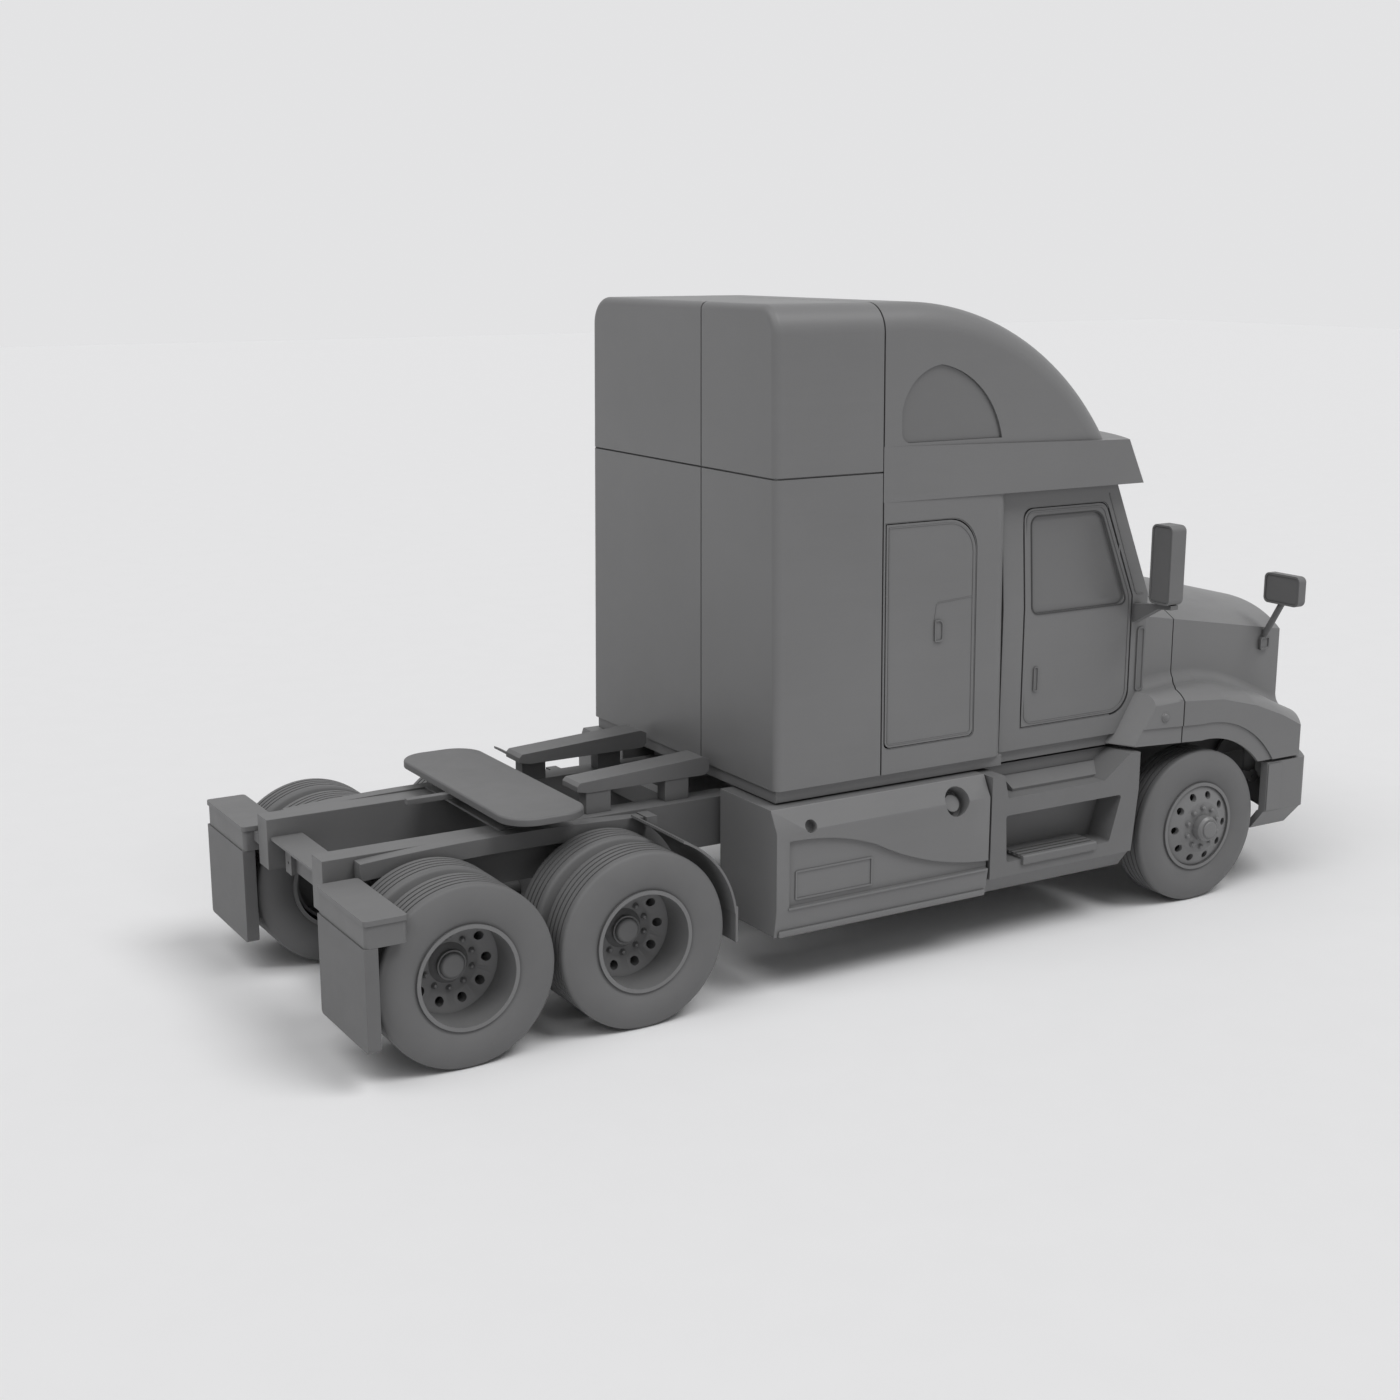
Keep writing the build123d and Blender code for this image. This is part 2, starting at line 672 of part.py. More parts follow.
# The sleeper and roof envelope, drawn in by an inset for the inner face
def sleeper(inset):
    top = roof_top - inset
    half_low = sleeper_half_low - inset
    half_high = sleeper_half_high - inset
    section = sheet([
        (-half_low, cab_bottom), (half_low, cab_bottom), (half_high, roof_top), (-half_high, roof_top)])
    radius = roof_arc_radius - inset
    reach = (radius ** 2 - (radius - top + band_top) ** 2) ** 0.5
    mid_drop = radius - (radius ** 2 - (reach / 2) ** 2) ** 0.5
    profile = sheet([
        (sleeper_rear_x + inset, cab_bottom), (sleeper_rear_x + inset, top), (roof_arc_x, top),
        (roof_arc_x + reach / 2, top - mid_drop, roof_arc_x + reach, band_top),
        (roof_arc_x + reach, roof_foot), (sleeper_front_x, roof_foot), (sleeper_front_x, cab_bottom)])
    form = front(section, sleeper_rear_x, front_axle_x) & side(profile, -far, far)
    crests = []
    for edge in form.edges():
        spot = edge.center()
        long_run = edge.bounding_box().size.X > roof_corner
        if abs(spot.Y) > half_high - wall and spot.Z > band_top + groove_width and long_run:
            crests.append(edge)
    return fillet(crests, roof_corner - inset)


outer_form = sleeper(0)
pillar_edges = []
for edge in outer_form.edges():
    spot = edge.center()
    upright_edge = edge.bounding_box().size.Z > roof_foot - cab_bottom - 1
    if upright_edge and abs(spot.X - sleeper_front_x) < 1 and abs(spot.Y) > cab_half_top:
        pillar_edges.append(edge)
outer_form = fillet(pillar_edges, sleeper_pillar_round)
rear_rim = []
for edge in outer_form.edges().group_by(Axis.X)[0]:
    if edge.center().Z > cab_bottom + 5:
        rear_rim.append(edge)
outer_form = fillet(rear_rim, rear_corner)
sleeper_shell = outer_form - sleeper(wall)
half_groove = groove_width / 2
seam_lines = block(sleeper_seam_x - half_groove, sleeper_seam_x + half_groove, -far, far, 0, far)
seam_lines += block(0, sleeper_seam_x, -far, far, rear_seam_z - half_groove, rear_seam_z + half_groove)
seam_lines += block(0, sleeper_seam_x, rear_seam_y - half_groove, rear_seam_y + half_groove, 0, far)
grooves = seam_lines & (outer_form - sleeper(groove_depth))
sleeper_shell -= grooves

# Four rear panels, split where the seams run
back = []
for y0, y1 in [(-far, rear_seam_y), (rear_seam_y, far)]:
    for z0, z1 in [(0, rear_seam_z), (rear_seam_z, far)]:
        back.append(sleeper_shell & block(0, sleeper_seam_x, y0, y1, z0, z1))
save("sleeper_back", Compound(back))


# Side walls with a front return, and the side doors hinged on their rear edge
def locker_outline(grow):
    x0 = locker_rear_x - grow
    x1 = locker_front_x + grow
    z0 = locker_bottom - grow
    z1 = locker_top + grow
    face = sheet([(x0, z0), (x1, z0), (x1, z1), (x0, z1)])
    face = fillet(face.vertices().sort_by(Axis.X)[2:].sort_by(Axis.Y)[-1], locker_round)
    return fillet(face.vertices().group_by(Axis.Y)[0], locker_corner)


sides = sleeper_shell & block(sleeper_seam_x, sleeper_front_x, -far, far, 0, roof_foot)
returns = outer_form & block(sleeper_front_x - wall, sleeper_front_x, -far, far, 0, roof_foot)
return_half = cab_half_top - 100
sides += returns - block(0, far, -return_half, return_half, 0, far)
locker = sides & side(locker_outline(0), 0, far)
sides -= side(locker_outline(door_gap), -far, far)
locker_axis_x = locker_rear_x + locker_hinge_back
pin_reach = hinge_pin_depth + door_gap
pin_bore = hinge_pin_radius + running_gap
for edge_z in (locker_bottom, locker_top):
    low = edge_z - pin_reach
    high = edge_z + pin_reach
    sides += pair(upright(locker_axis_x, locker_hinge_y, hinge_pin_radius, low, high))
    locker -= upright(locker_axis_x, locker_hinge_y, pin_bore, low - 1, high + 1)
save("sleeper_sides", sides)
save("sleeper_door_left", locker)
save("sleeper_door_right", flip(locker))

# Roof cap with its brow, and the two half-moon panes
wall_lean = (sleeper_half_low - sleeper_half_high) / (roof_top - cab_bottom)
brow_faces = []
brow_x = cab_corner_x - brow_back
for z, corner in [(roof_foot, brow_x), (band_top, brow_x - brow_lean)]:
    half = sleeper_half_low - wall_lean * (z - cab_bottom)
    wide = half + brow_proud
    brow_plan = sheet([
        (sleeper_seam_x, -half), (corner, -wide), (corner + brow_bow, 0, corner, wide),
        (sleeper_seam_x, half)])
    brow_faces.append(Pos(0, 0, z) * brow_plan)
brow_slope = sheet([
    (sleeper_seam_x, band_top), (brow_x - brow_lean, band_top - brow_fall), (far, band_top - brow_fall),
    (far, band_top + 10), (sleeper_seam_x, band_top + 10)])
cap = outer_form & block(sleeper_seam_x, far, -far, far, roof_foot, far)
cap += loft(brow_faces, ruled=True) - side(brow_slope, -far, far)
cap -= sleeper(wall) & block(sleeper_seam_x, far, -far, far, roof_foot + ceiling_thick, far)
cap -= grooves
moon_x = sleeper_seam_x + moon_rear
moon_z = band_top + 12
moon_end = moon_x + moon_length
moon_crest = moon_z + moon_rise
moon = sheet([
    (moon_end, moon_z), (moon_end - 200, moon_crest - 110, moon_x + 280, moon_crest),
    (moon_x + 75, moon_crest - 105, moon_x, moon_z + 180), (moon_x, moon_z + moon_corner),
    (moon_x + 0.3 * moon_corner, moon_z + 0.3 * moon_corner, moon_x + moon_corner, moon_z)])
cap -= side(moon, -far, far)
save("roof_cap", cap)
save("roof_windows", (sleeper(pane_inset) - sleeper(pane_inset + pane_thick)) & side(moon, -far, far))


# The cab envelope between sleeper and windscreen
def cab(inset):
    # Height, half width, station of the front corner
    rows = [
        (cab_bottom, cab_half, cab_corner_x - 20), (belt_z, cab_half, cab_corner_x),
        (roof_foot, cab_half_top, cab_corner_x - cab_rake)]
    faces = []
    for z, half, corner in rows:
        h = half - inset
        c = corner - inset
        ring = sheet([(sleeper_front_x, -h), (c, -h), (c + cab_bow, 0, c, h), (sleeper_front_x, h)])
        faces.append(Pos(0, 0, z) * ring)
    return loft(faces, ruled=True)


pillar_lean = cab_rake / (roof_foot - belt_z)
slant = pillar_lean * (door_top - belt_z)


def door_outline(grow):
    x0 = door_rear_x - grow
    x1 = door_front_x + grow
    z0 = door_bottom - grow
    z1 = door_top + grow
    face = sheet([(x0, z0), (x1, z0), (x1, belt_z), (x1 - slant, z1), (x0, z1)])
    face = fillet(face.vertices().group_by(Axis.Y)[-1], door_corner)
    return fillet(face.vertices().sort_by(Axis.Y)[:2].sort_by(Axis.X)[-1], door_toe)


glass_low = belt_z - 45
glass_high = door_top - pane_margin
glass_front = door_front_x - 42
glass_rear = door_rear_x + 55
glass_corner = door_corner - 10
glass_lean = pillar_lean * (glass_high - glass_low)
door_glass = rounded([
    (glass_rear, glass_low), (glass_front, glass_low),
    (glass_front - glass_lean, glass_high), (glass_rear, glass_high)], glass_corner)
screen_low = belt_z + 75
screen_high = roof_foot - screen_margin
screen = rounded([
    (-screen_half, screen_low), (screen_half, screen_low), (screen_half - 40, screen_high),
    (40 - screen_half, screen_high)], door_corner)
cab_solid = cab(0)
cab_skin = cab_solid - cab(wall)
glass_skin = cab(pane_inset) - cab(pane_inset + pane_thick)
door = cab_skin & side(door_outline(0), 0, far)
door -= side(door_glass, 0, far)
pane = glass_skin & side(door_glass, 0, far)
door_axis_x = door_front_x - door_hinge_back
door_axis_y = cab_half - door_hinge_in
axis_top = belt_z + door_hinge_back / pillar_lean
pin_reach = hinge_pin_depth + door_gap * 3
screen_cut = front(screen, cab_corner_x - 500, far)
cab_frame = cab_skin - side(door_outline(door_gap), -far, far) - screen_cut
for edge_z in (door_bottom, min(axis_top, door_top)):
    low = edge_z - pin_reach
    high = edge_z + pin_reach
    cab_frame += pair(upright(door_axis_x, door_axis_y, hinge_pin_radius, low, high))
    door -= upright(door_axis_x, door_axis_y, pin_bore, low - 1, high + 1)
save("cab_door_left", door)
save("cab_door_right", flip(door))
save("door_glass_left", pane)
save("door_glass_right", flip(pane))
save("windscreen", glass_skin & screen_cut)
save("cab_shell", cab_frame)

# Hood and fenders in one loft: crown, crease, side, cove, fender top, outer face.
# Station ahead of the front axle, height at the foot of the cove, height where the outer face starts
hood_rows = [
    (-720, 1445, 1370), (-200, 1458, 1385), (140, 1440, 1358), (450, 1372, 1280),
    (700, 1288, 1185), (900, 1200, 1085), (1100, 1118, 990), (1472, 1050, 915)]
knee_across = 0.62
knee_height = 0.72
cove_mid = cove * 0.5 ** 0.5


def hood_form(inset, low):
    faces = []
    for along, crest, brim in hood_rows:
        back_x = front_axle_x + along - hood_rear_x
        half = hood_half - hood_taper * back_x - inset
        crease = crease_z - crease_fall * back_x - inset
        crown = crown_z - crown_fall * back_x - inset
        outer = fender_half - inset
        root = half + cove
        top = crest - inset
        edge = brim - inset
        knee_y = root + knee_across * (outer - root)
        knee_z = edge + knee_height * (top - edge)
        cove_y = root - cove_mid
        cove_z = top + cove - cove_mid
        rib = sheet([
            (-outer, low), (-outer, edge), (-knee_y, knee_z, -root, top),
            (-cove_y, cove_z, -half, top + cove), (-half, crease), (0, crown, half, crease),
            (half, top + cove), (cove_y, cove_z, root, top), (knee_y, knee_z, outer, edge), (outer, low)])
        faces.append(rib_plane(front_axle_x + along) * rib)
    return loft(faces, ruled=True)


def front_bow(inset):
    return plan(bow(nose_front_x - inset, fender_half + 200, 0), 0, far)


def hood_plan(shift):
    x_nose = hood_rear_x - shift
    x_fender = fender_seam_x - shift
    knee = hood_half + cove
    wide = fender_half + 200
    return sheet([
        (x_nose, -hood_half - 20), (x_nose, hood_half + 20), (x_fender, knee + 100), (x_fender, wide),
        (far, wide), (far, -wide), (x_fender, -wide), (x_fender, -knee - 100)])


def arch_outline(grow):
    high = tyre_diameter + arch_gap + grow
    end_x = front_axle_x + 570 + grow
    return sheet([
        (fender_rear_x - 300, 0), (fender_rear_x - 300, high + 70), (front_axle_x - 30, high + 18),
        (front_axle_x + 340 + 0.7 * grow, high - 62 - 0.3 * grow, end_x, 800), (end_x, 0)])


hood_outer = hood_form(0, fender_bottom) & front_bow(0)
hood_inner = hood_form(hood_wall, 0) & front_bow(hood_wall)
lean_face = sheet([
    (0, 0), (fender_rear_x, 0), (fender_rear_x, arch_gap + tyre_diameter + 60),
    (fender_rear_x + fender_lean, 1480), (fender_rear_x + fender_lean, far), (0, far)])


# Everything behind the fender's rear end, a panel that turns out from the cab and leans forward
def fender_end(shift):
    faces = []
    for y in (cab_half - 100, fender_half + 100):
        turn = fender_turn * (y - cab_half) / (fender_half - cab_half)
        faces.append(Plane((shift + turn, y, 0), x_dir=(1, 0, 0), z_dir=(0, -1, 0)) * lean_face)
    behind = pair(loft(faces, ruled=True))
    return behind + side(lean_face, 100 - cab_half, cab_half - 100)


hood_shell = (hood_outer - fender_end(0)) - (hood_inner - fender_end(hood_wall))
front_form = hood_shell - side(arch_outline(0), -far, far)
front_form -= pair(side(arch_outline(lip_width), fender_half - lip_depth, far))
cowl_part = front_form - plan(hood_plan(hood_gap), 0, far)
save("cowl", cowl_part - cab(-running_gap) - floor)

hood = front_form & plan(hood_plan(0), 0, far)
hood -= block(hood_pivot_x - 150, far, -nose_bottom_half, nose_bottom_half, 0, nose_bottom)
grille_low = nose_bottom + 70
grille_high = nose_bottom + 600
grille_outline = rounded([(-480, grille_low), (480, grille_low), (440, grille_high), (-440, grille_high)], 45)
grille_cut = front(grille_outline, nose_front_x - 250, far)
lamp_low = fender_bottom + 70
lamp_outline = rounded([
    (790, lamp_low), (1120, lamp_low), (1120, lamp_low + 80), (790, lamp_low + 105)], 30)
lamp_cut = front(lamp_outline, front_axle_x + 750, far)
half_arm = hood_arm_width / 2
arm = across(hood_pivot_x, hood_pivot_z, hood_arm_reach + half_arm, arm_low, arm_high)
arm -= across(hood_pivot_x, hood_pivot_z, hood_arm_reach - half_arm, 0, far)
arm_sector = sheet([
    (hood_pivot_x, hood_pivot_z), (hood_pivot_x + 110, hood_pivot_z + 700),
    (hood_pivot_x - 700, hood_pivot_z + 700), (hood_pivot_x - 970, hood_pivot_z + 260)])
arm = arm & side(arm_sector, 0, far)
strut = Rot(0, 15, 0) * block(-hood_arm_reach, 0, arm_low, arm_high, -half_arm, half_arm)
arm += Pos(hood_pivot_x, 0, hood_pivot_z) * strut
arm += across(hood_pivot_x, hood_pivot_z, pin_radius + half_arm, arm_low, arm_high)
tab_x = nose_front_x - bow_radius + (bow_radius ** 2 - arm_high ** 2) ** 0.5 - hood_wall / 2
arm += block(hood_pivot_x - 60, tab_x, arm_low, arm_high, nose_bottom, nose_bottom + 150)
arm -= across(hood_pivot_x, hood_pivot_z, pin_radius + running_gap, 0, far)
save("hood", hood - grille_cut - pair(lamp_cut) + pair(arm))

grille = (front_bow(8) - front_bow(30)) & grille_cut
slat_count = 6
slat_pitch = 78
slot_height = 50
for slot in range(slat_count):
    slot_z = grille_low + 40 + slot * slat_pitch
    grille -= pair(block(front_axle_x, far, 20, 400, slot_z, slot_z + slot_height))
save("grille", grille)
save("headlamps", pair((hood_outer & front_bow(5) & lamp_cut) - front_bow(30)))


# Mirror heads with a glass bed in the rear face
def mirror_head(x, y, z, depth, width, height):
    head = Pos(x, y, z) * Box(depth, width, height)
    head = fillet(head.edges().filter_by(Axis.X), mirror_corner)
    head = fillet(head.faces().sort_by(Axis.X)[-1].edges(), mirror_nose)
    bed_width = width - 2 * mirror_rim
    bed_height = height - 2 * mirror_rim
    bed = Pos(x - depth / 2, y, z) * Box(2 * mirror_glass_depth, bed_width, bed_height)
    return head - fillet(bed.edges().filter_by(Axis.X), mirror_corner - mirror_rim)


small = mirror_head(
    hood_mirror_x, hood_mirror_y, hood_mirror_z, hood_mirror_depth, hood_mirror_width, hood_mirror_height)
arm_foot = (hood_mirror_x, 690, hood_mirror_z - 405)
small += rod(arm_foot, (hood_mirror_x, hood_mirror_y, hood_mirror_z - 65), mirror_arm)
save("hood_mirrors", pair(small - hood_outer))
cab_mirror_x = door_front_x + 50
tall = mirror_head(
    cab_mirror_x, cab_mirror_y, cab_mirror_low + cab_mirror_height / 2, cab_mirror_depth, cab_mirror_width,
    cab_mirror_height)
bracket_end = cab_mirror_y + 75
bracket = sheet([
    (cab_half - 40, cab_mirror_low - 180), (cab_half - 40, cab_mirror_low - 40),
    (cab_mirror_y, cab_mirror_low), (bracket_end, cab_mirror_low), (bracket_end, cab_mirror_low - 28),
    (cab_mirror_y - 40, cab_mirror_low - 38)])
tall += front(bracket, cab_mirror_x - 32, cab_mirror_x + 32)
save("cab_mirrors", pair(tall - cab_solid))

# Inside
dash = block(cab_corner_x - 270, far, -860, 860, belt_z - 470, belt_z - 100) & cab(wall)
column_y = 430
column_end = (cab_corner_x - 420, column_y, belt_z - 230)
dash += rod((cab_corner_x - 200, column_y, belt_z - 320), column_end, 30)
wheel_plane = Plane(column_end, z_dir=(-0.9, 0, 0.35))
dash += wheel_plane * Torus(wheel_radius, 17)
dash += wheel_plane * Box(2 * wheel_radius - 20, 50, 20)
save("dashboard", dash)
seat_x = sleeper_front_x + 200
seat_y0 = 180
seat_y1 = seat_y0 + seat_width
seat = block(seat_x, seat_x + seat_length, seat_y0, seat_y1, cab_bottom, cab_bottom + seat_height)
back_low = cab_bottom + seat_height - 70
seat += block(seat_x - 100, seat_x + 60, seat_y0, seat_y1, back_low, back_low + seat_back + 70)
save("seats", pair(seat))
bunk_half = sleeper_half_low - 210
bunk_x = sleeper_rear_x + wall
save("bunk", block(bunk_x, bunk_x + bunk_length, -bunk_half, bunk_half, cab_bottom, cab_bottom + bunk_height))
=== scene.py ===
import json
import math
import bmesh
import bpy
from mathutils import Matrix, Vector


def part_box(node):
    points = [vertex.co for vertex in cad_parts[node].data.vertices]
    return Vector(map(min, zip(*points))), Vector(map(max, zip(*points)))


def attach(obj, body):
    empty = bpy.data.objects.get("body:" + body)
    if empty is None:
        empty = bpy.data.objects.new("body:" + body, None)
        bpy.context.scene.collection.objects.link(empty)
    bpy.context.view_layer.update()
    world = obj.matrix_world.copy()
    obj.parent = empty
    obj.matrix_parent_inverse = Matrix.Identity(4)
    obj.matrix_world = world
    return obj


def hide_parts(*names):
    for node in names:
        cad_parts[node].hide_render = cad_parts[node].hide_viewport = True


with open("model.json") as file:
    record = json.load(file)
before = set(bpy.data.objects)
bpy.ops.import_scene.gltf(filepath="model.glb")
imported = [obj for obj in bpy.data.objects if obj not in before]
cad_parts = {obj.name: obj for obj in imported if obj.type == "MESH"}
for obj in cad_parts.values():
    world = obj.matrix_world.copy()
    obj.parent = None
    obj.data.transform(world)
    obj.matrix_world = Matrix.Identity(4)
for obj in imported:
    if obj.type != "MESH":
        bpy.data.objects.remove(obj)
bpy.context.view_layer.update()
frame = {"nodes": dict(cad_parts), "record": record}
nodes = frame["nodes"]
scene = bpy.context.scene
print("frame loaded:", len(nodes), "pieces")

# the photograph's camera: place in metres, turn and dip in degrees
cameraSpec = {"place": (-6.926, -10.06, 4.232), "yaw": 59.03, "dip": 13.08, "lens": 50.0, "sensor": 36.0,
              "far": 200.0}


def addCamera(spec):
    data = bpy.data.cameras.new("photoCamera")
    data.lens = spec["lens"]
    data.sensor_width = spec["sensor"]
    data.clip_end = spec["far"]
    camera = bpy.data.objects.new("photoCamera", data)
    scene.collection.objects.link(camera)
    camera.location = spec["place"]
    camera.rotation_euler = (math.radians(90 - spec["dip"]), 0.0, math.radians(spec["yaw"] - 90))
    scene.camera = camera


addCamera(cameraSpec)
scene.view_settings.view_transform = "Standard"
print("camera placed")


class Wire:
    # one socket, with plain arithmetic that adds Math nodes
    def __init__(self, graph, socket):
        self.graph = graph
        self.socket = socket

    def math(self, kind, left, right):
        return self.graph.add("ShaderNodeMath", {"operation": kind}, {0: left, 1: right})

    def __add__(self, other):
        return self.math("ADD", self, other)

    def __radd__(self, other):
        return self.math("ADD", other, self)

    def __sub__(self, other):
        return self.math("SUBTRACT", self, other)

    def __rsub__(self, other):
        return self.math("SUBTRACT", other, self)

    def __mul__(self, other):
        return self.math("MULTIPLY", self, other)

    def __rmul__(self, other):
        return self.math("MULTIPLY", other, self)


class Graph:
    # a node tree, and the one way that nodes are added to it
    def __init__(self, tree):
        self.tree = tree

    def add(self, kind, settings=None, inputs=None, output=0):
        node = self.tree.nodes.new(kind)
        for key, value in (settings or {}).items():
            setattr(node, key, value)
        for key, value in (inputs or {}).items():
            self.feed(node.inputs[key], value)
        return Wire(self, node.outputs[output])

    def feed(self, socket, value):
        if isinstance(value, Wire):
            self.tree.links.new(value.socket, socket)
        else:
            socket.default_value = value

    def mix(self, share, first, second):
        return self.add("ShaderNodeMix", {"data_type": "RGBA"}, {0: share, 6: first, 7: second}, output=2)

    def noise(self, place, scale, detail, roughness=0.5):
        return self.add("ShaderNodeTexNoise", None, {
            "Vector": place, "Scale": scale, "Detail": detail, "Roughness": roughness})


def newFinish(name):
    material = bpy.data.materials.new(name)
    material.use_nodes = True
    return material, Graph(material.node_tree), material.node_tree.nodes["Principled BSDF"].inputs


coolTint = 1.01


def grey(level):
    return (level, level, level * coolTint, 1.0)


# shares of the three noises in the tone, the tone of the painted shade in the corners, and how strongly the
# noises work on roughness and relief
primerBlend = {"cloud": 0.6, "grain": 0.15, "scuff": 0.25, "paintedShadeTone": 0.42, "roughSwing": 0.2,
               "scuffRelief": 0.4, "relief": 0.002}


# primer over the whole model: cloudy tone, fine grain, scuffs along the panels, and painted shade darkening
# the corners and creases
def primerFinish(name, spec):
    material, graph, shader = newFinish(name)
    blend = primerBlend
    place = graph.add("ShaderNodeTexCoord", output="Object")
    cloud = graph.noise(place, spec["cloud"], 4.0, 0.55)
    grain = graph.noise(place, spec["grain"], 3.0, 0.6)
    drawn = graph.add("ShaderNodeMapping", None, {"Vector": place, "Scale": spec["drag"]})
    scuff = graph.noise(drawn, 1.0, 6.0, 0.7)
    # ambient occlusion of each spot, used below to paint shade into corners and creases
    corner = graph.add("ShaderNodeAmbientOcclusion", {"samples": 4}, {"Distance": spec["reach"]}, output="AO")
    tone = cloud * blend["cloud"] + grain * blend["grain"] + scuff * blend["scuff"]
    colour = graph.mix(tone, grey(spec["dark"]), grey(spec["light"]))
    # painted shade: the colour darkens towards a darker grey where the spot is hemmed in
    colour = graph.mix((1 - corner) * spec["paintedShadeShare"], colour, grey(spec["dark"] * blend["paintedShadeTone"]))
    relief = grain + scuff * blend["scuffRelief"]
    graph.feed(shader["Base Color"], colour)
    graph.feed(shader["Roughness"], spec["rough"] + (scuff - 0.5) * blend["roughSwing"])
    graph.feed(shader["Specular IOR Level"], spec["gloss"])
    graph.feed(shader["Normal"], graph.add("ShaderNodeBump", None, {
        "Strength": spec["bump"], "Distance": blend["relief"], "Height": relief}))
    return material


# greys in linear light, one row for each finish of the model, with the reach and strength of the painted
# shade in its corners
finishes = {
    "bodyPrimer": {"dark": 0.150, "light": 0.205, "cloud": 1.1, "grain": 90.0, "drag": (1.5, 6.0, 14.0),
                   "reach": 0.05, "paintedShadeShare": 0.75, "bump": 0.03, "rough": 0.44, "gloss": 0.45},
    "framePrimer": {"dark": 0.135, "light": 0.185, "cloud": 2.0, "grain": 70.0, "drag": (2.0, 12.0, 12.0),
                    "reach": 0.05, "paintedShadeShare": 0.7, "bump": 0.06, "rough": 0.50, "gloss": 0.40},
    "castPrimer": {"dark": 0.130, "light": 0.180, "cloud": 3.0, "grain": 160.0, "drag": (9.0, 9.0, 9.0),
                   "reach": 0.04, "paintedShadeShare": 0.7, "bump": 0.16, "rough": 0.56, "gloss": 0.35},
    "wheelPrimer": {"dark": 0.150, "light": 0.205, "cloud": 3.0, "grain": 120.0, "drag": (14.0, 4.0, 14.0),
                    "reach": 0.03, "paintedShadeShare": 0.7, "bump": 0.04, "rough": 0.40, "gloss": 0.50},
    "tyrePrimer": {"dark": 0.130, "light": 0.172, "cloud": 4.0, "grain": 220.0, "drag": (9.0, 5.0, 9.0),
                   "reach": 0.02, "paintedShadeShare": 0.7, "bump": 0.08, "rough": 0.58, "gloss": 0.30},
    "plasticPrimer": {"dark": 0.140, "light": 0.188, "cloud": 2.5, "grain": 300.0, "drag": (3.0, 9.0, 9.0),
                      "reach": 0.04, "paintedShadeShare": 0.75, "bump": 0.10, "rough": 0.52, "gloss": 0.35},
    "panePrimer": {"dark": 0.140, "light": 0.172, "cloud": 1.0, "grain": 60.0, "drag": (4.0, 4.0, 9.0),
                   "reach": 0.02, "paintedShadeShare": 0.5, "bump": 0.01, "rough": 0.32, "gloss": 0.50},
    # the window seal's dark grey is painted shade, standing in for the shadow in the window's recess
    "sealPaintedShade": {"dark": 0.060, "light": 0.085, "cloud": 4.0, "grain": 200.0, "drag": (9.0, 9.0, 9.0),
                   "reach": 0.02, "paintedShadeShare": 0.5, "bump": 0.05, "rough": 0.60, "gloss": 0.25},
    "seatPrimer": {"dark": 0.110, "light": 0.150, "cloud": 5.0, "grain": 400.0, "drag": (9.0, 9.0, 9.0),
                   "reach": 0.06, "paintedShadeShare": 0.6, "bump": 0.20, "rough": 0.75, "gloss": 0.20},
}
materials = {name: primerFinish(name, spec) for name, spec in finishes.items()}
slotFinish = {
    "body_paint": "bodyPrimer", "frame_paint": "framePrimer", "cast_metal": "castPrimer",
    "wheel_metal": "wheelPrimer", "tyre_rubber": "tyrePrimer", "flap_rubber": "tyrePrimer",
    "dark_plastic": "plasticPrimer", "bumper_plastic": "bodyPrimer", "glass": "panePrimer",
    "lamp_lens": "panePrimer", "seat_fabric": "seatPrimer",
}
print("finishes:", len(materials))


# smooth shading on shallow edges of a carried-over piece
def smoothGroup(limit):
    group = bpy.data.node_groups.new("smoothByAngle", "GeometryNodeTree")
    group.interface.new_socket("Geometry", in_out="INPUT", socket_type="NodeSocketGeometry")
    group.interface.new_socket("Geometry", in_out="OUTPUT", socket_type="NodeSocketGeometry")
    graph = Graph(group)
    start = graph.add("NodeGroupInput")
    bare = graph.add("GeometryNodeRemoveAttribute", None, {"Geometry": start, "Name": "custom_normal"})
    faces = graph.add("GeometryNodeSetShadeSmooth", None, {"Geometry": bare})
    angle = graph.add("GeometryNodeInputMeshEdgeAngle", output="Unsigned Angle")
    shallow = graph.add("FunctionNodeCompare", {"data_type": "FLOAT", "operation": "LESS_THAN"}, {
        0: angle, 1: math.radians(limit)})
    edges = graph.add("GeometryNodeSetShadeSmooth", {"domain": "EDGE"}, {
        "Geometry": faces, "Shade Smooth": shallow})
    graph.feed(group.nodes.new("NodeGroupOutput").inputs[0], edges)
    return group


# edge width in metres by material slot, and the angle in degrees past which an edge is softened
edgeSpec = {"limit": 34.0, "weld": 0.00005, "flat": 0.4, "segments": 2, "usual": 0.004,
            "body_paint": 0.006, "bumper_plastic": 0.008, "wheel_metal": 0.003, "glass": 0.002,
            "lamp_lens": 0.002, "seat_fabric": 0.03, "flap_rubber": 0.004}
smoother = smoothGroup(edgeSpec["limit"])


def dressNode(piece, width):
    weld = piece.modifiers.new("weld", "WELD")
    weld.merge_threshold = edgeSpec["weld"]
    flat = piece.modifiers.new("flat", "DECIMATE")
    flat.decimate_type = "DISSOLVE"
    flat.angle_limit = math.radians(edgeSpec["flat"])
    edge = piece.modifiers.new("softEdge", "BEVEL")
    edge.width = width
    edge.segments = edgeSpec["segments"]
    edge.limit_method = "ANGLE"
    edge.angle_limit = math.radians(edgeSpec["limit"])
    edge.use_clamp_overlap = True
    smooth = piece.modifiers.new("smooth", "NODES")
    smooth.node_group = smoother
    normals = piece.modifiers.new("normals", "WEIGHTED_NORMAL")
    normals.keep_sharp = True


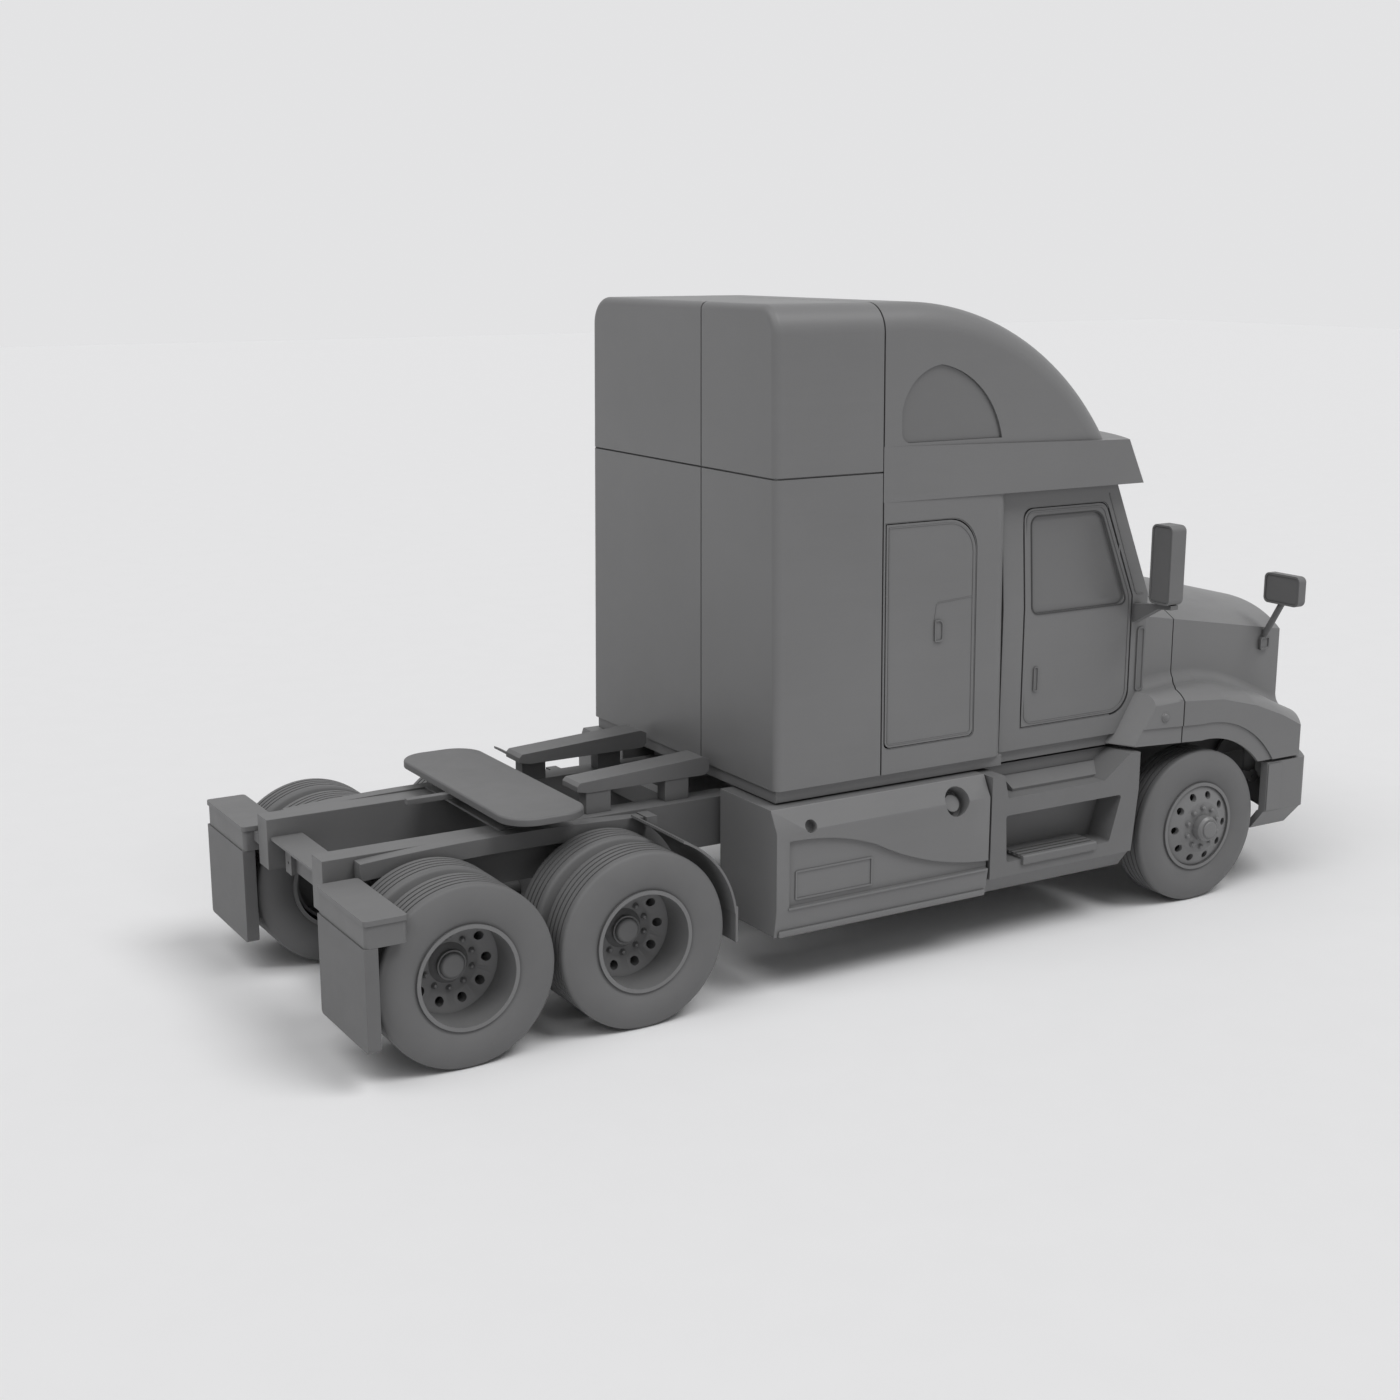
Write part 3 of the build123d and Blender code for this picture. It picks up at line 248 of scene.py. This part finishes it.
for row in frame["record"]["subparts"]:
    slotName = row["material_slot"]
    piece = nodes[row["node"]]
    piece.data.materials.clear()
    piece.data.materials.append(materials[slotFinish[slotName]])
    dressNode(piece, edgeSpec.get(slotName, edgeSpec["usual"]))
print("pieces dressed:", len(nodes))


# helpers for the pieces modelled here
def middle(node):
    low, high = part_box(node)
    return (low + high) * 0.5


rearAxleX = middle("tyres_rear_right").x
sides = {"left": 1, "right": -1}
weldGap = 0.00002
cornerSteps = 8


def at(station):  # metres ahead of the rearmost axle
    return rearAxleX + station


def newPiece(name, bm, finish, body, limit=35.0):
    bmesh.ops.remove_doubles(bm, verts=bm.verts, dist=weldGap)
    bmesh.ops.recalc_face_normals(bm, faces=bm.faces)
    mesh = bpy.data.meshes.new(name)
    bm.to_mesh(mesh)
    bm.free()
    mesh.materials.append(materials[finish])
    for polygon in mesh.polygons:
        polygon.use_smooth = True
    mesh.set_sharp_from_angle(angle=math.radians(limit))
    piece = bpy.data.objects.new(name, mesh)
    scene.collection.objects.link(piece)
    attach(piece, body)
    return piece


def stamp(source, matrices):  # copies of one shape in one mesh
    mould = bpy.data.meshes.new("mould")
    source.to_mesh(mould)
    source.free()
    out = bmesh.new()
    for matrix in matrices:
        before = len(out.verts)
        out.from_mesh(mould)
        out.verts.ensure_lookup_table()
        bmesh.ops.transform(out, matrix=matrix, verts=out.verts[before:])
    bpy.data.meshes.remove(mould)
    return out


def joined(parts):  # several shapes in one mesh
    out = bmesh.new()
    for part in parts:
        mould = bpy.data.meshes.new("mould")
        part.to_mesh(mould)
        part.free()
        out.from_mesh(mould)
        bpy.data.meshes.remove(mould)
    return out


def drum(radius, depth, segments, top):  # upright on Z from its base
    bm = bmesh.new()
    bmesh.ops.create_cone(bm, cap_ends=True, segments=segments, radius1=radius, radius2=top, depth=depth,
                          matrix=Matrix.Translation((0, 0, depth / 2)))
    return bm


def dome(radius, height, soften, segments):  # upright on Z, with a rounded upper edge
    bm = drum(radius, height, segments, radius)
    rim = [edge for edge in bm.edges if min(vert.co.z for vert in edge.verts) > height * 0.99]
    bmesh.ops.bevel(bm, geom=rim, affect="EDGES", offset=soften, segments=5, profile=0.5, material=-1)
    return bm


def outward(side):  # turns a shape's Z axis to point out of the truck
    return Matrix.Rotation(math.radians(-90 * side), 4, "X")


# a flat outline in X and Z with rounded corners, one radius for all or one for each; +Y is out of the panel
def outline(points, radius):
    bm = bmesh.new()
    verts = [bm.verts.new((x, 0, z)) for x, z in points]
    bm.faces.new(verts)
    radii = radius if isinstance(radius, tuple) else [radius] * len(verts)
    for vert, size in zip(verts, radii):
        if size:
            bmesh.ops.bevel(bm, geom=[vert], affect="VERTICES", offset=size, segments=cornerSteps,
                            profile=0.5, material=-1)
    return bm


def raiseFaces(bm, height):
    made = bmesh.ops.extrude_face_region(bm, geom=bm.faces[:])["geom"]
    moved = [item for item in made if isinstance(item, bmesh.types.BMVert)]
    bmesh.ops.translate(bm, vec=(0, height, 0), verts=moved)
    return [item for item in made if isinstance(item, bmesh.types.BMFace)]


def corners(spec, grow=0.0):  # of a panel, with a front edge that leans back, above the belt if it has one
    x0, x1 = at(spec["x0"]) - grow, at(spec["x1"]) + grow
    z0, z1 = spec["z0"] - grow, spec["z1"] + grow
    points = [(x0, z0), (x1, z0), (x1 - spec.get("slant", 0.0), z1), (x0, z1)]
    if "belt" in spec:
        points.insert(2, (x1, spec["belt"]))
    return points


# a raised line round an outline, left out ahead of and below the place that opening gives
def bead(points, radius, width, proud, opening=None):
    bm = outline(points, radius)
    core = bm.faces[:]
    made = bmesh.ops.inset_region(bm, faces=core, thickness=width, use_boundary=True, use_even_offset=True)
    spots = {face: face.calc_center_median() for face in made["faces"]}
    unwanted = core[:]
    if opening:
        x, z = at(opening[0]), opening[1]
        unwanted += [face for face, spot in spots.items() if spot.x > x and spot.z < z]
    bmesh.ops.delete(bm, geom=unwanted, context="FACES")
    raiseFaces(bm, proud)
    return bm


def cup(spec):  # a raised plate with a sunk middle
    bm = outline(corners(spec), spec["corner"])
    top = raiseFaces(bm, spec["proud"])
    bmesh.ops.inset_region(bm, faces=top, thickness=spec["rim"])
    bmesh.ops.inset_region(bm, faces=top, thickness=spec["rim"] * 0.3)
    floor = list({vert for face in top for vert in face.verts})
    bmesh.ops.translate(bm, vec=(0, -spec["depth"], 0), verts=floor)
    return bm


def ridge(spec):  # a thin raised line through the points of a spec
    points = [Vector((at(x), 0, z)) for x, z in spec["line"]]
    bm = bmesh.new()
    rows = []
    for number, point in enumerate(points):
        way = points[min(number + 1, len(points) - 1)] - points[max(number - 1, 0)]
        across = Vector((-way.z, 0, way.x)).normalized() * spec["wide"] / 2
        rows.append((bm.verts.new(point + across), bm.verts.new(point - across)))
    for (a, b), (c, d) in zip(rows, rows[1:]):
        bm.faces.new((a, b, d, c))
    raiseFaces(bm, spec["proud"])
    return bm


def bar(low, high, soften):  # a box between two corners, its edges rounded
    bm = bmesh.new()
    size = high - low
    place = Matrix.Translation((high + low) * 0.5) @ Matrix.Diagonal((*size, 1.0))
    bmesh.ops.create_cube(bm, size=1.0, matrix=place)
    bmesh.ops.bevel(bm, geom=bm.edges[:], affect="EDGES", offset=soften, segments=2, profile=0.5, material=-1)
    return bm


def lineOn(bm, last, y, radius):  # carries a wire on to a point in the Y and Z plane
    vert = bm.verts.new((0, y, radius))
    bm.edges.new((last, vert))
    return vert


def arcOn(bm, last, via, end, steps):  # carries a wire on round an arc in the Y and Z plane
    a, b, c = last.co.yz, Vector(via), Vector(end)
    d = 2 * (a.x * (b.y - c.y) + b.x * (c.y - a.y) + c.x * (a.y - b.y))
    aa, bb, cc = a.length_squared, b.length_squared, c.length_squared
    centre = Vector(((aa * (b.y - c.y) + bb * (c.y - a.y) + cc * (a.y - b.y)) / d,
                     (aa * (c.x - b.x) + bb * (a.x - c.x) + cc * (b.x - a.x)) / d))
    turn = 0.0
    for first, second in ((a - centre, b - centre), (b - centre, c - centre)):
        turn += math.atan2(first.x * second.y - first.y * second.x, first.dot(second))
    made = bmesh.ops.spin(bm, geom=[last], cent=(0, centre.x, centre.y), axis=(1, 0, 0), angle=turn,
                          steps=steps)
    return [item for item in made["geom_last"] if isinstance(item, bmesh.types.BMVert)][0]


def spun(bm, start, last, steps):  # closes a wire and turns it round the Y axis
    bm.edges.new((last, start))
    bmesh.ops.spin(bm, geom=bm.verts[:] + bm.edges[:], cent=(0, 0, 0), axis=(0, 1, 0), angle=math.tau,
                   steps=steps, use_merge=True)
    return bm


# wheels by axle; distances out from the truck's middle of the nuts, the hub's face and the brake drum's ends
driveWheel = {"nutRing": 0.1425, "nutOut": 0.9505, "hubOut": 1.000, "cap": 0.074, "capHeight": 0.024,
              "drumFace": 0.872, "drumEnd": 0.712}
axles = {
    "rear": {"tyre": "tyres_rear", "body": "drive_wheel_rear", "twin": True, **driveWheel},
    "middle": {"tyre": "tyres_middle", "body": "drive_wheel_middle", "twin": True, **driveWheel},
    "front": {"tyre": "tyre_front", "body": "front_wheel", "twin": False, "nutRing": 0.1320, "nutOut": 1.2045,
              "hubOut": 1.276, "cap": 0.056, "capHeight": 0.012, "drumFace": 1.104, "drumEnd": 0.996},
}


def eachWheel():
    for axle, row in axles.items():
        for sideName, side in sides.items():
            yield row, side, row["tyre"] + "_" + sideName, row["body"] + "_" + sideName, axle + "_" + sideName


# tyres with rounded sidewalls and ribbed tread
tyreSpec = {"bead": 0.286, "flange": 0.298, "beadFace": 0.1135, "width": 0.275, "crown": 0.118,
            "shoulderDrop": 0.020, "shoulderIn": 0.026, "shoulderVia": (0.009, 0.005),
            "grooves": (-0.062, -0.021, 0.021, 0.062), "grooveHalf": 0.0065, "grooveFloor": 0.0045,
            "grooveDepth": 0.012, "arcSteps": 10, "shoulderSteps": 4, "turnSteps": 112, "sharp": 40.0}


def tyreShape(radius, spec):
    bm = bmesh.new()
    half, face, crown = spec["width"] / 2, spec["beadFace"], spec["crown"]
    shoulder = radius - spec["shoulderDrop"]
    belly = (spec["flange"] + shoulder) / 2
    edge = crown - spec["shoulderIn"]
    viaIn, viaDrop = spec["shoulderVia"]
    start = bm.verts.new((0, -face, spec["bead"]))
    last = lineOn(bm, start, -face, spec["flange"])
    last = arcOn(bm, last, (-half, belly), (-crown, shoulder), spec["arcSteps"])
    last = arcOn(bm, last, (-crown + viaIn, radius - viaDrop), (-edge, radius), spec["shoulderSteps"])
    for groove in spec["grooves"]:
        last = lineOn(bm, last, groove - spec["grooveHalf"], radius)
        last = lineOn(bm, last, groove - spec["grooveFloor"], radius - spec["grooveDepth"])
        last = lineOn(bm, last, groove + spec["grooveFloor"], radius - spec["grooveDepth"])
        last = lineOn(bm, last, groove + spec["grooveHalf"], radius)
    last = lineOn(bm, last, edge, radius)
    last = arcOn(bm, last, (crown - viaIn, radius - viaDrop), (crown, shoulder), spec["shoulderSteps"])
    last = arcOn(bm, last, (half, belly), (face, spec["flange"]), spec["arcSteps"])
    last = lineOn(bm, last, face, spec["bead"])
    return spun(bm, start, last, spec["turnSteps"])


for row, side, node, body, label in eachWheel():
    low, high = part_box(node)
    centre = (low + high) * 0.5
    inset = tyreSpec["width"] / 2
    places = [low.y + inset, high.y - inset] if row["twin"] else [centre.y]
    shape = stamp(tyreShape((high.z - low.z) / 2, tyreSpec),
                  [Matrix.Translation((centre.x, y, centre.z)) for y in places])
    tread = newPiece(node + "_ribbed", shape, "tyrePrimer", body, tyreSpec["sharp"])
    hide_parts(node)
print("tyres ribbed")

# lug nuts with rounded ends and smooth hub caps; shares: how far an edge is rounded, how far a flange tapers
nutSpec = {"flange": 0.019, "flangeHeight": 0.006, "taper": 0.9, "radius": 0.0145, "height": 0.016,
           "round": 0.8, "steps": 18, "count": 10, "start": 0.31, "capRound": 0.9, "capSteps": 40}


def nutShape(spec):
    height = spec["height"] + spec["flangeHeight"]
    nut = dome(spec["radius"], height, spec["radius"] * spec["round"], spec["steps"])
    flange = drum(spec["flange"], spec["flangeHeight"], spec["steps"], spec["flange"] * spec["taper"])
    return joined([flange, nut])


def nutPlaces(centre, side, row, spec):
    places = []
    for number in range(spec["count"]):
        angle = spec["start"] + math.tau * number / spec["count"]
        along, up = row["nutRing"] * math.cos(angle), row["nutRing"] * math.sin(angle)
        spot = Vector((centre.x + along, side * row["nutOut"], centre.z + up))
        places.append(Matrix.Translation(spot) @ outward(side))
    return places


for row, side, node, body, label in eachWheel():
    centre = middle(node)
    nuts = stamp(nutShape(nutSpec), nutPlaces(centre, side, row, nutSpec))
    seat = Matrix.Translation((centre.x, side * row["hubOut"], centre.z)) @ outward(side)
    cap = dome(row["cap"], row["capHeight"], row["capHeight"] * nutSpec["capRound"], nutSpec["capSteps"])
    newPiece("wheel_nuts_" + label, joined([nuts, stamp(cap, [seat])]), "wheelPrimer", body)
print("wheel nuts set")

# brake drums behind the wheel discs
drumSpec = {"bore": 0.112, "radius": 0.252, "wall": 0.012, "edge": 0.010, "rib": 0.258, "ribWide": 0.018,
            "steps": 64}


def drumShape(spec, face, end):
    inner, rib = spec["radius"] - spec["wall"], end + spec["ribWide"]
    profile = [
        (face, spec["bore"]), (face, spec["radius"] - spec["edge"]), (face - spec["edge"], spec["radius"]),
        (rib, spec["radius"]), (rib, spec["rib"]), (end, spec["rib"]), (end, inner),
        (face - spec["wall"], inner), (face - spec["wall"], spec["bore"])]
    bm = bmesh.new()
    start = last = bm.verts.new((0, *profile[0]))
    for y, radius in profile[1:]:
        last = lineOn(bm, last, y, radius)
    return spun(bm, start, last, spec["steps"])


for row, side, node, body, label in eachWheel():
    centre = middle(node)
    seat = Matrix.Translation((centre.x, 0, centre.z)) @ Matrix.Diagonal((1, side, 1, 1))
    shell = stamp(drumShape(drumSpec, row["drumFace"], row["drumEnd"]), [seat])
    newPiece("brake_drum_" + label, shell, "castPrimer", body)
print("brake drums set")

# flanks of the truck: half width in metres at a place along and up
sleeperWall = {"foot": 1.200, "top": 3.935, "low": 1.110, "high": 1.060}
cabWall = {"belt": 2.090, "top": 2.810, "low": 1.050, "high": 1.000}
hoodWall = {"rear": 5.200, "half": 0.930, "taper": 0.2}


def sleeperHalf(x, z):
    share = (z - sleeperWall["foot"]) / (sleeperWall["top"] - sleeperWall["foot"])
    return sleeperWall["low"] + (sleeperWall["high"] - sleeperWall["low"]) * share


def cabHalf(x, z):
    share = max(0.0, (z - cabWall["belt"]) / (cabWall["top"] - cabWall["belt"]))
    return cabWall["low"] + (cabWall["high"] - cabWall["low"]) * share


def hoodHalf(x, z):
    return hoodWall["half"] - hoodWall["taper"] * (x - at(hoodWall["rear"]))


def flat(half):
    return lambda x, z: half


def wrap(bm, halfAt, side):  # lays a panel detail on the left or right flank
    for vert in bm.verts:
        vert.co.y = side * (halfAt(vert.co.x, vert.co.z) + vert.co.y)
    return bm


# the rebate that a door closes on, a little below the outer face, left out along the edge that swings in
gapSpec = {"gap": 0.012, "lip": 0.007, "thick": 0.006, "below": 0.004}


def gapLip(spec):
    points = corners(spec, gapSpec["gap"])
    lip = bead(points, spec["gapCorner"], gapSpec["lip"], gapSpec["thick"], spec.get("hingeSide"))
    bmesh.ops.translate(lip, vec=(0, -gapSpec["below"] - gapSpec["thick"], 0), verts=lip.verts)
    return lip


# places along are metres ahead of the rearmost axle, in every spec of the flanks
cabDoorSpec = {"x0": 3.830, "x1": 4.700, "z0": 1.340, "z1": 2.690, "belt": 2.090, "slant": 0.217,
               "corner": (0.064, 0.134, 0.040, 0.040, 0.054), "gapCorner": (0.0, 0.150, 0.0, 0.049, 0.070),
               "inset": 0.016, "wide": 0.006, "proud": 0.004, "hingeSide": (4.520, 2.500)}


def cabDoorLines(sideName, side, body):
    spec = cabDoorSpec
    rim = bead(corners(spec, -spec["inset"]), spec["corner"], spec["wide"], spec["proud"])
    newPiece("cab_door_bead_" + sideName, wrap(rim, cabHalf, side), "bodyPrimer", body)
    lip = wrap(gapLip(spec), cabHalf, side)
    newPiece("cab_door_lip_" + sideName, lip, "bodyPrimer", "chassis")


windowSpec = {"x0": 3.885, "x1": 4.658, "z0": 2.045, "z1": 2.640, "slant": 0.215, "corner": 0.060,
              "grow": 0.007, "wide": 0.008, "proud": 0.004}


# a raised bead round the window, its dark grey painting the shade of the window's recess
def windowSeal(sideName, side, body):
    spec = windowSpec
    seal = bead(corners(spec, spec["grow"]), spec["corner"], spec["wide"], spec["proud"])
    newPiece("window_seal_" + sideName, wrap(seal, cabHalf, side), "sealPaintedShade", body)


handleSpec = {"x0": 3.912, "x1": 3.948, "z0": 1.556, "z1": 1.712, "corner": 0.014, "rim": 0.006,
              "proud": 0.009, "depth": 0.006}


def cabDoorHandle(sideName, side, body):
    pull = wrap(cup(handleSpec), cabHalf, side)
    newPiece("cab_door_handle_" + sideName, pull, "plasticPrimer", body)


lockerSpec = {"x0": 2.745, "x1": 3.400, "z0": 1.360, "z1": 2.680, "inset": 0.016,
              "corner": (0.024, 0.024, 0.184, 0.004), "gapCorner": (0.040, 0.040, 0.200, 0.0),
              "wide": 0.005, "proud": 0.003}


def sleeperDoorLines(sideName, side, body):
    spec = lockerSpec
    rim = bead(corners(spec, -spec["inset"]), spec["corner"], spec["wide"], spec["proud"])
    newPiece("sleeper_door_bead_" + sideName, wrap(rim, sleeperHalf, side), "bodyPrimer", body)
    lip = wrap(gapLip(spec), sleeperHalf, side)
    newPiece("sleeper_door_lip_" + sideName, lip, "bodyPrimer", "chassis")


# the sleeper door's handle slot, and the line of the flap over it
latchSpec = {"x0": 3.098, "x1": 3.160, "z0": 1.962, "z1": 2.092, "corner": (0.010, 0.022, 0.030, 0.004),
             "rim": 0.007, "proud": 0.010, "depth": 0.008}
flapSpec = {"line": ((3.388, 2.212), (3.128, 2.196), (3.112, 2.184), (3.100, 2.092)), "wide": 0.004,
            "proud": 0.0025}


def sleeperDoorHandle(sideName, side, body):
    pull = wrap(joined([cup(latchSpec), ridge(flapSpec)]), sleeperHalf, side)
    newPiece("sleeper_door_handle_" + sideName, pull, "bodyPrimer", body)


# the strip ahead of the door, and the trim line along the windscreen pillar
stripSpec = {"x0": 4.762, "x1": 4.826, "z0": 1.460, "z1": 1.880, "corner": 0.026, "rim": 0.010,
             "proud": 0.010, "depth": 0.007}
pillarSpec = {"line": ((4.515, 2.745), (4.733, 2.112), (4.746, 2.098), (4.800, 2.096)), "wide": 0.007,
              "proud": 0.003}


def pillarStrip(sideName, side):
    strip = wrap(joined([cup(stripSpec), ridge(pillarSpec)]), cabHalf, side)
    newPiece("pillar_strip_" + sideName, strip, "plasticPrimer", "chassis")


# the frame on the tank cover, and the two lips along its foot, each from a low corner to a high one
tankSpec = {"x0": 2.060, "x1": 2.606, "z0": 0.568, "z1": 0.745, "corner": 0.014, "wide": 0.011,
            "proud": 0.006, "half": 1.198}
lipSpec = {"round": 0.005, "lips": [((1.945, 1.190, 0.360), (3.452, 1.213, 0.398)),
                                    ((2.000, 1.205, 0.520), (3.456, 1.227, 0.534))]}


def tankTrim(sideName, side):
    spec = tankSpec
    panel = wrap(bead(corners(spec), spec["corner"], spec["wide"], spec["proud"]), flat(spec["half"]), side)
    newPiece("tank_panel_" + sideName, panel, "bodyPrimer", "chassis")
    ahead = Vector((rearAxleX, 0, 0))
    bars = [bar(ahead + Vector(low), ahead + Vector(high), lipSpec["round"]) for low, high in lipSpec["lips"]]
    lips = wrap(joined(bars), flat(0.0), side)
    newPiece("tank_lips_" + sideName, lips, "bodyPrimer", "chassis")


lampSpec = {"x": 4.905, "z": 1.300, "half": 1.200, "radius": 0.027, "proud": 0.016, "bezel": 0.034,
            "bezelHeight": 0.006, "taper": 0.9, "steps": 28, "bezelSteps": 32}


def fenderLamp(sideName, side):
    spec = lampSpec
    lens = bmesh.new()
    bmesh.ops.create_uvsphere(lens, u_segments=spec["steps"], v_segments=spec["steps"] // 2,
                              radius=spec["radius"])
    bmesh.ops.scale(lens, vec=(1, 1, spec["proud"] / spec["radius"]), verts=lens.verts)
    bezel = drum(spec["bezel"], spec["bezelHeight"], spec["bezelSteps"], spec["bezel"] * spec["taper"])
    seat = Matrix.Translation((at(spec["x"]), side * spec["half"], spec["z"])) @ outward(side)
    lamp = stamp(joined([lens, bezel]), [seat])
    newPiece("fender_lamp_" + sideName, lamp, "panePrimer", "chassis")


bumperSpec = {"x0": 5.874, "x1": 6.000, "z0": 0.530, "z1": 0.856, "corner": 0.010, "proud": 0.007,
              "half": 1.200}


def bumperEnd(sideName, side):
    spec = bumperSpec
    plate = outline(corners(spec), spec["corner"])
    raiseFaces(plate, spec["proud"])
    plate = wrap(plate, flat(spec["half"]), side)
    newPiece("bumper_end_" + sideName, plate, "bodyPrimer", "chassis")


footSpec = {"x0": 6.215, "x1": 6.325, "z0": 1.520, "z1": 1.610, "corner": 0.020, "rim": 0.012, "proud": 0.022,
            "depth": 0.008}


def hoodMirrorFoot(sideName, side):
    foot = wrap(cup(footSpec), hoodHalf, side)
    newPiece("hood_mirror_foot_" + sideName, foot, "plasticPrimer", "hood_body")


for sideName, side in sides.items():
    doorBody = "cab_door_" + sideName + "_body"
    lockerBody = "sleeper_door_" + sideName + "_body"
    cabDoorLines(sideName, side, doorBody)
    windowSeal(sideName, side, doorBody)
    cabDoorHandle(sideName, side, doorBody)
    sleeperDoorLines(sideName, side, lockerBody)
    sleeperDoorHandle(sideName, side, lockerBody)
    pillarStrip(sideName, side)
    tankTrim(sideName, side)
    fenderLamp(sideName, side)
    bumperEnd(sideName, side)
    hoodMirrorFoot(sideName, side)
print("flank trim set")

# mirror panes in their beds, facing back: distance out and up of the middle, and the head's width and height
mirrorSpec = {"rim": 0.016, "bed": 0.012, "thick": 0.006, "corner": 0.024}
mirrorRows = {
    "cab_mirrors": {"body": "chassis", "out": 1.305, "up": 2.320, "wide": 0.180, "tall": 0.500},
    "hood_mirrors": {"body": "hood_body", "out": 0.885, "up": 1.965, "wide": 0.310, "tall": 0.208},
}
for node, row in mirrorRows.items():
    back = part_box(node)[0].x + mirrorSpec["bed"]
    wide, tall = row["wide"] / 2 - mirrorSpec["rim"], row["tall"] / 2 - mirrorSpec["rim"]
    for sideName, side in sides.items():
        pane = outline([(-wide, -tall), (wide, -tall), (wide, tall), (-wide, tall)], mirrorSpec["corner"])
        raiseFaces(pane, mirrorSpec["thick"])
        place = Matrix.Translation((back, side * row["out"], row["up"]))
        turn = Matrix.Rotation(math.radians(90), 4, "Z")
        bmesh.ops.transform(pane, matrix=place @ turn, verts=pane.verts)
        newPiece(node + "_pane_" + sideName, pane, "panePrimer", row["body"])
print("mirror panes set")

# pale floor and soft studio light; each lamp has the way it shines from, its power and softness in degrees
studio = {"floor": 0.85, "fleck": 0.01, "fleckScale": 3.0, "fleckDetail": 2.0, "floorRough": 0.9,
          "floorSize": 80.0, "world": 0.25, "backdrop": 0.77}
lampRows = {"keyLamp": {"way": (0.35, -0.50, 1.0), "power": 1.3, "soft": 30.0},
            "fillLamp": {"way": (-0.60, -0.20, 1.0), "power": 1.1, "soft": 50.0}}


def addFloor(spec):
    mesh = bpy.data.meshes.new("studioFloor")
    bm = bmesh.new()
    bmesh.ops.create_grid(bm, x_segments=1, y_segments=1, size=spec["floorSize"])
    bm.to_mesh(mesh)
    bm.free()
    floor = bpy.data.objects.new("studioFloor", mesh)
    scene.collection.objects.link(floor)
    material, graph, shader = newFinish("floorPaper")
    place = graph.add("ShaderNodeTexCoord", output="Object")
    fleck = graph.noise(place, spec["fleckScale"], spec["fleckDetail"])
    colour = graph.mix(fleck, grey(spec["floor"] - spec["fleck"]), grey(spec["floor"] + spec["fleck"]))
    graph.feed(shader["Base Color"], colour)
    graph.feed(shader["Roughness"], spec["floorRough"])
    mesh.materials.append(material)


def addWorld(spec):  # white light on the truck, and a pale backdrop where the world is seen
    world = bpy.data.worlds.new("studioWorld")
    scene.world = world
    world.use_nodes = True
    graph = Graph(world.node_tree)
    camera, glossy, through = [graph.add("ShaderNodeLightPath", output="Is " + ray + " Ray")
                               for ray in ("Camera", "Glossy", "Transmission")]
    seen = through.math("MAXIMUM", glossy.math("MAXIMUM", camera, glossy), through)
    light = graph.add("ShaderNodeBackground", None, {
        "Color": (1.0, 1.0, 1.0, 1.0), "Strength": spec["world"]})
    shown = graph.add("ShaderNodeBackground", None, {"Color": grey(spec["backdrop"])})
    blend = graph.add("ShaderNodeMixShader", None, {0: seen, 1: light, 2: shown})
    graph.feed(world.node_tree.nodes["World Output"].inputs["Surface"], blend)


def addLamp(name, row):
    data = bpy.data.lights.new(name, "SUN")
    data.energy = row["power"]
    data.angle = math.radians(row["soft"])
    lamp = bpy.data.objects.new(name, data)
    scene.collection.objects.link(lamp)
    lamp.rotation_euler = (-Vector(row["way"])).to_track_quat("-Z", "Y").to_euler()


addFloor(studio)
addWorld(studio)
for name, row in lampRows.items():
    addLamp(name, row)
print("studio lit")
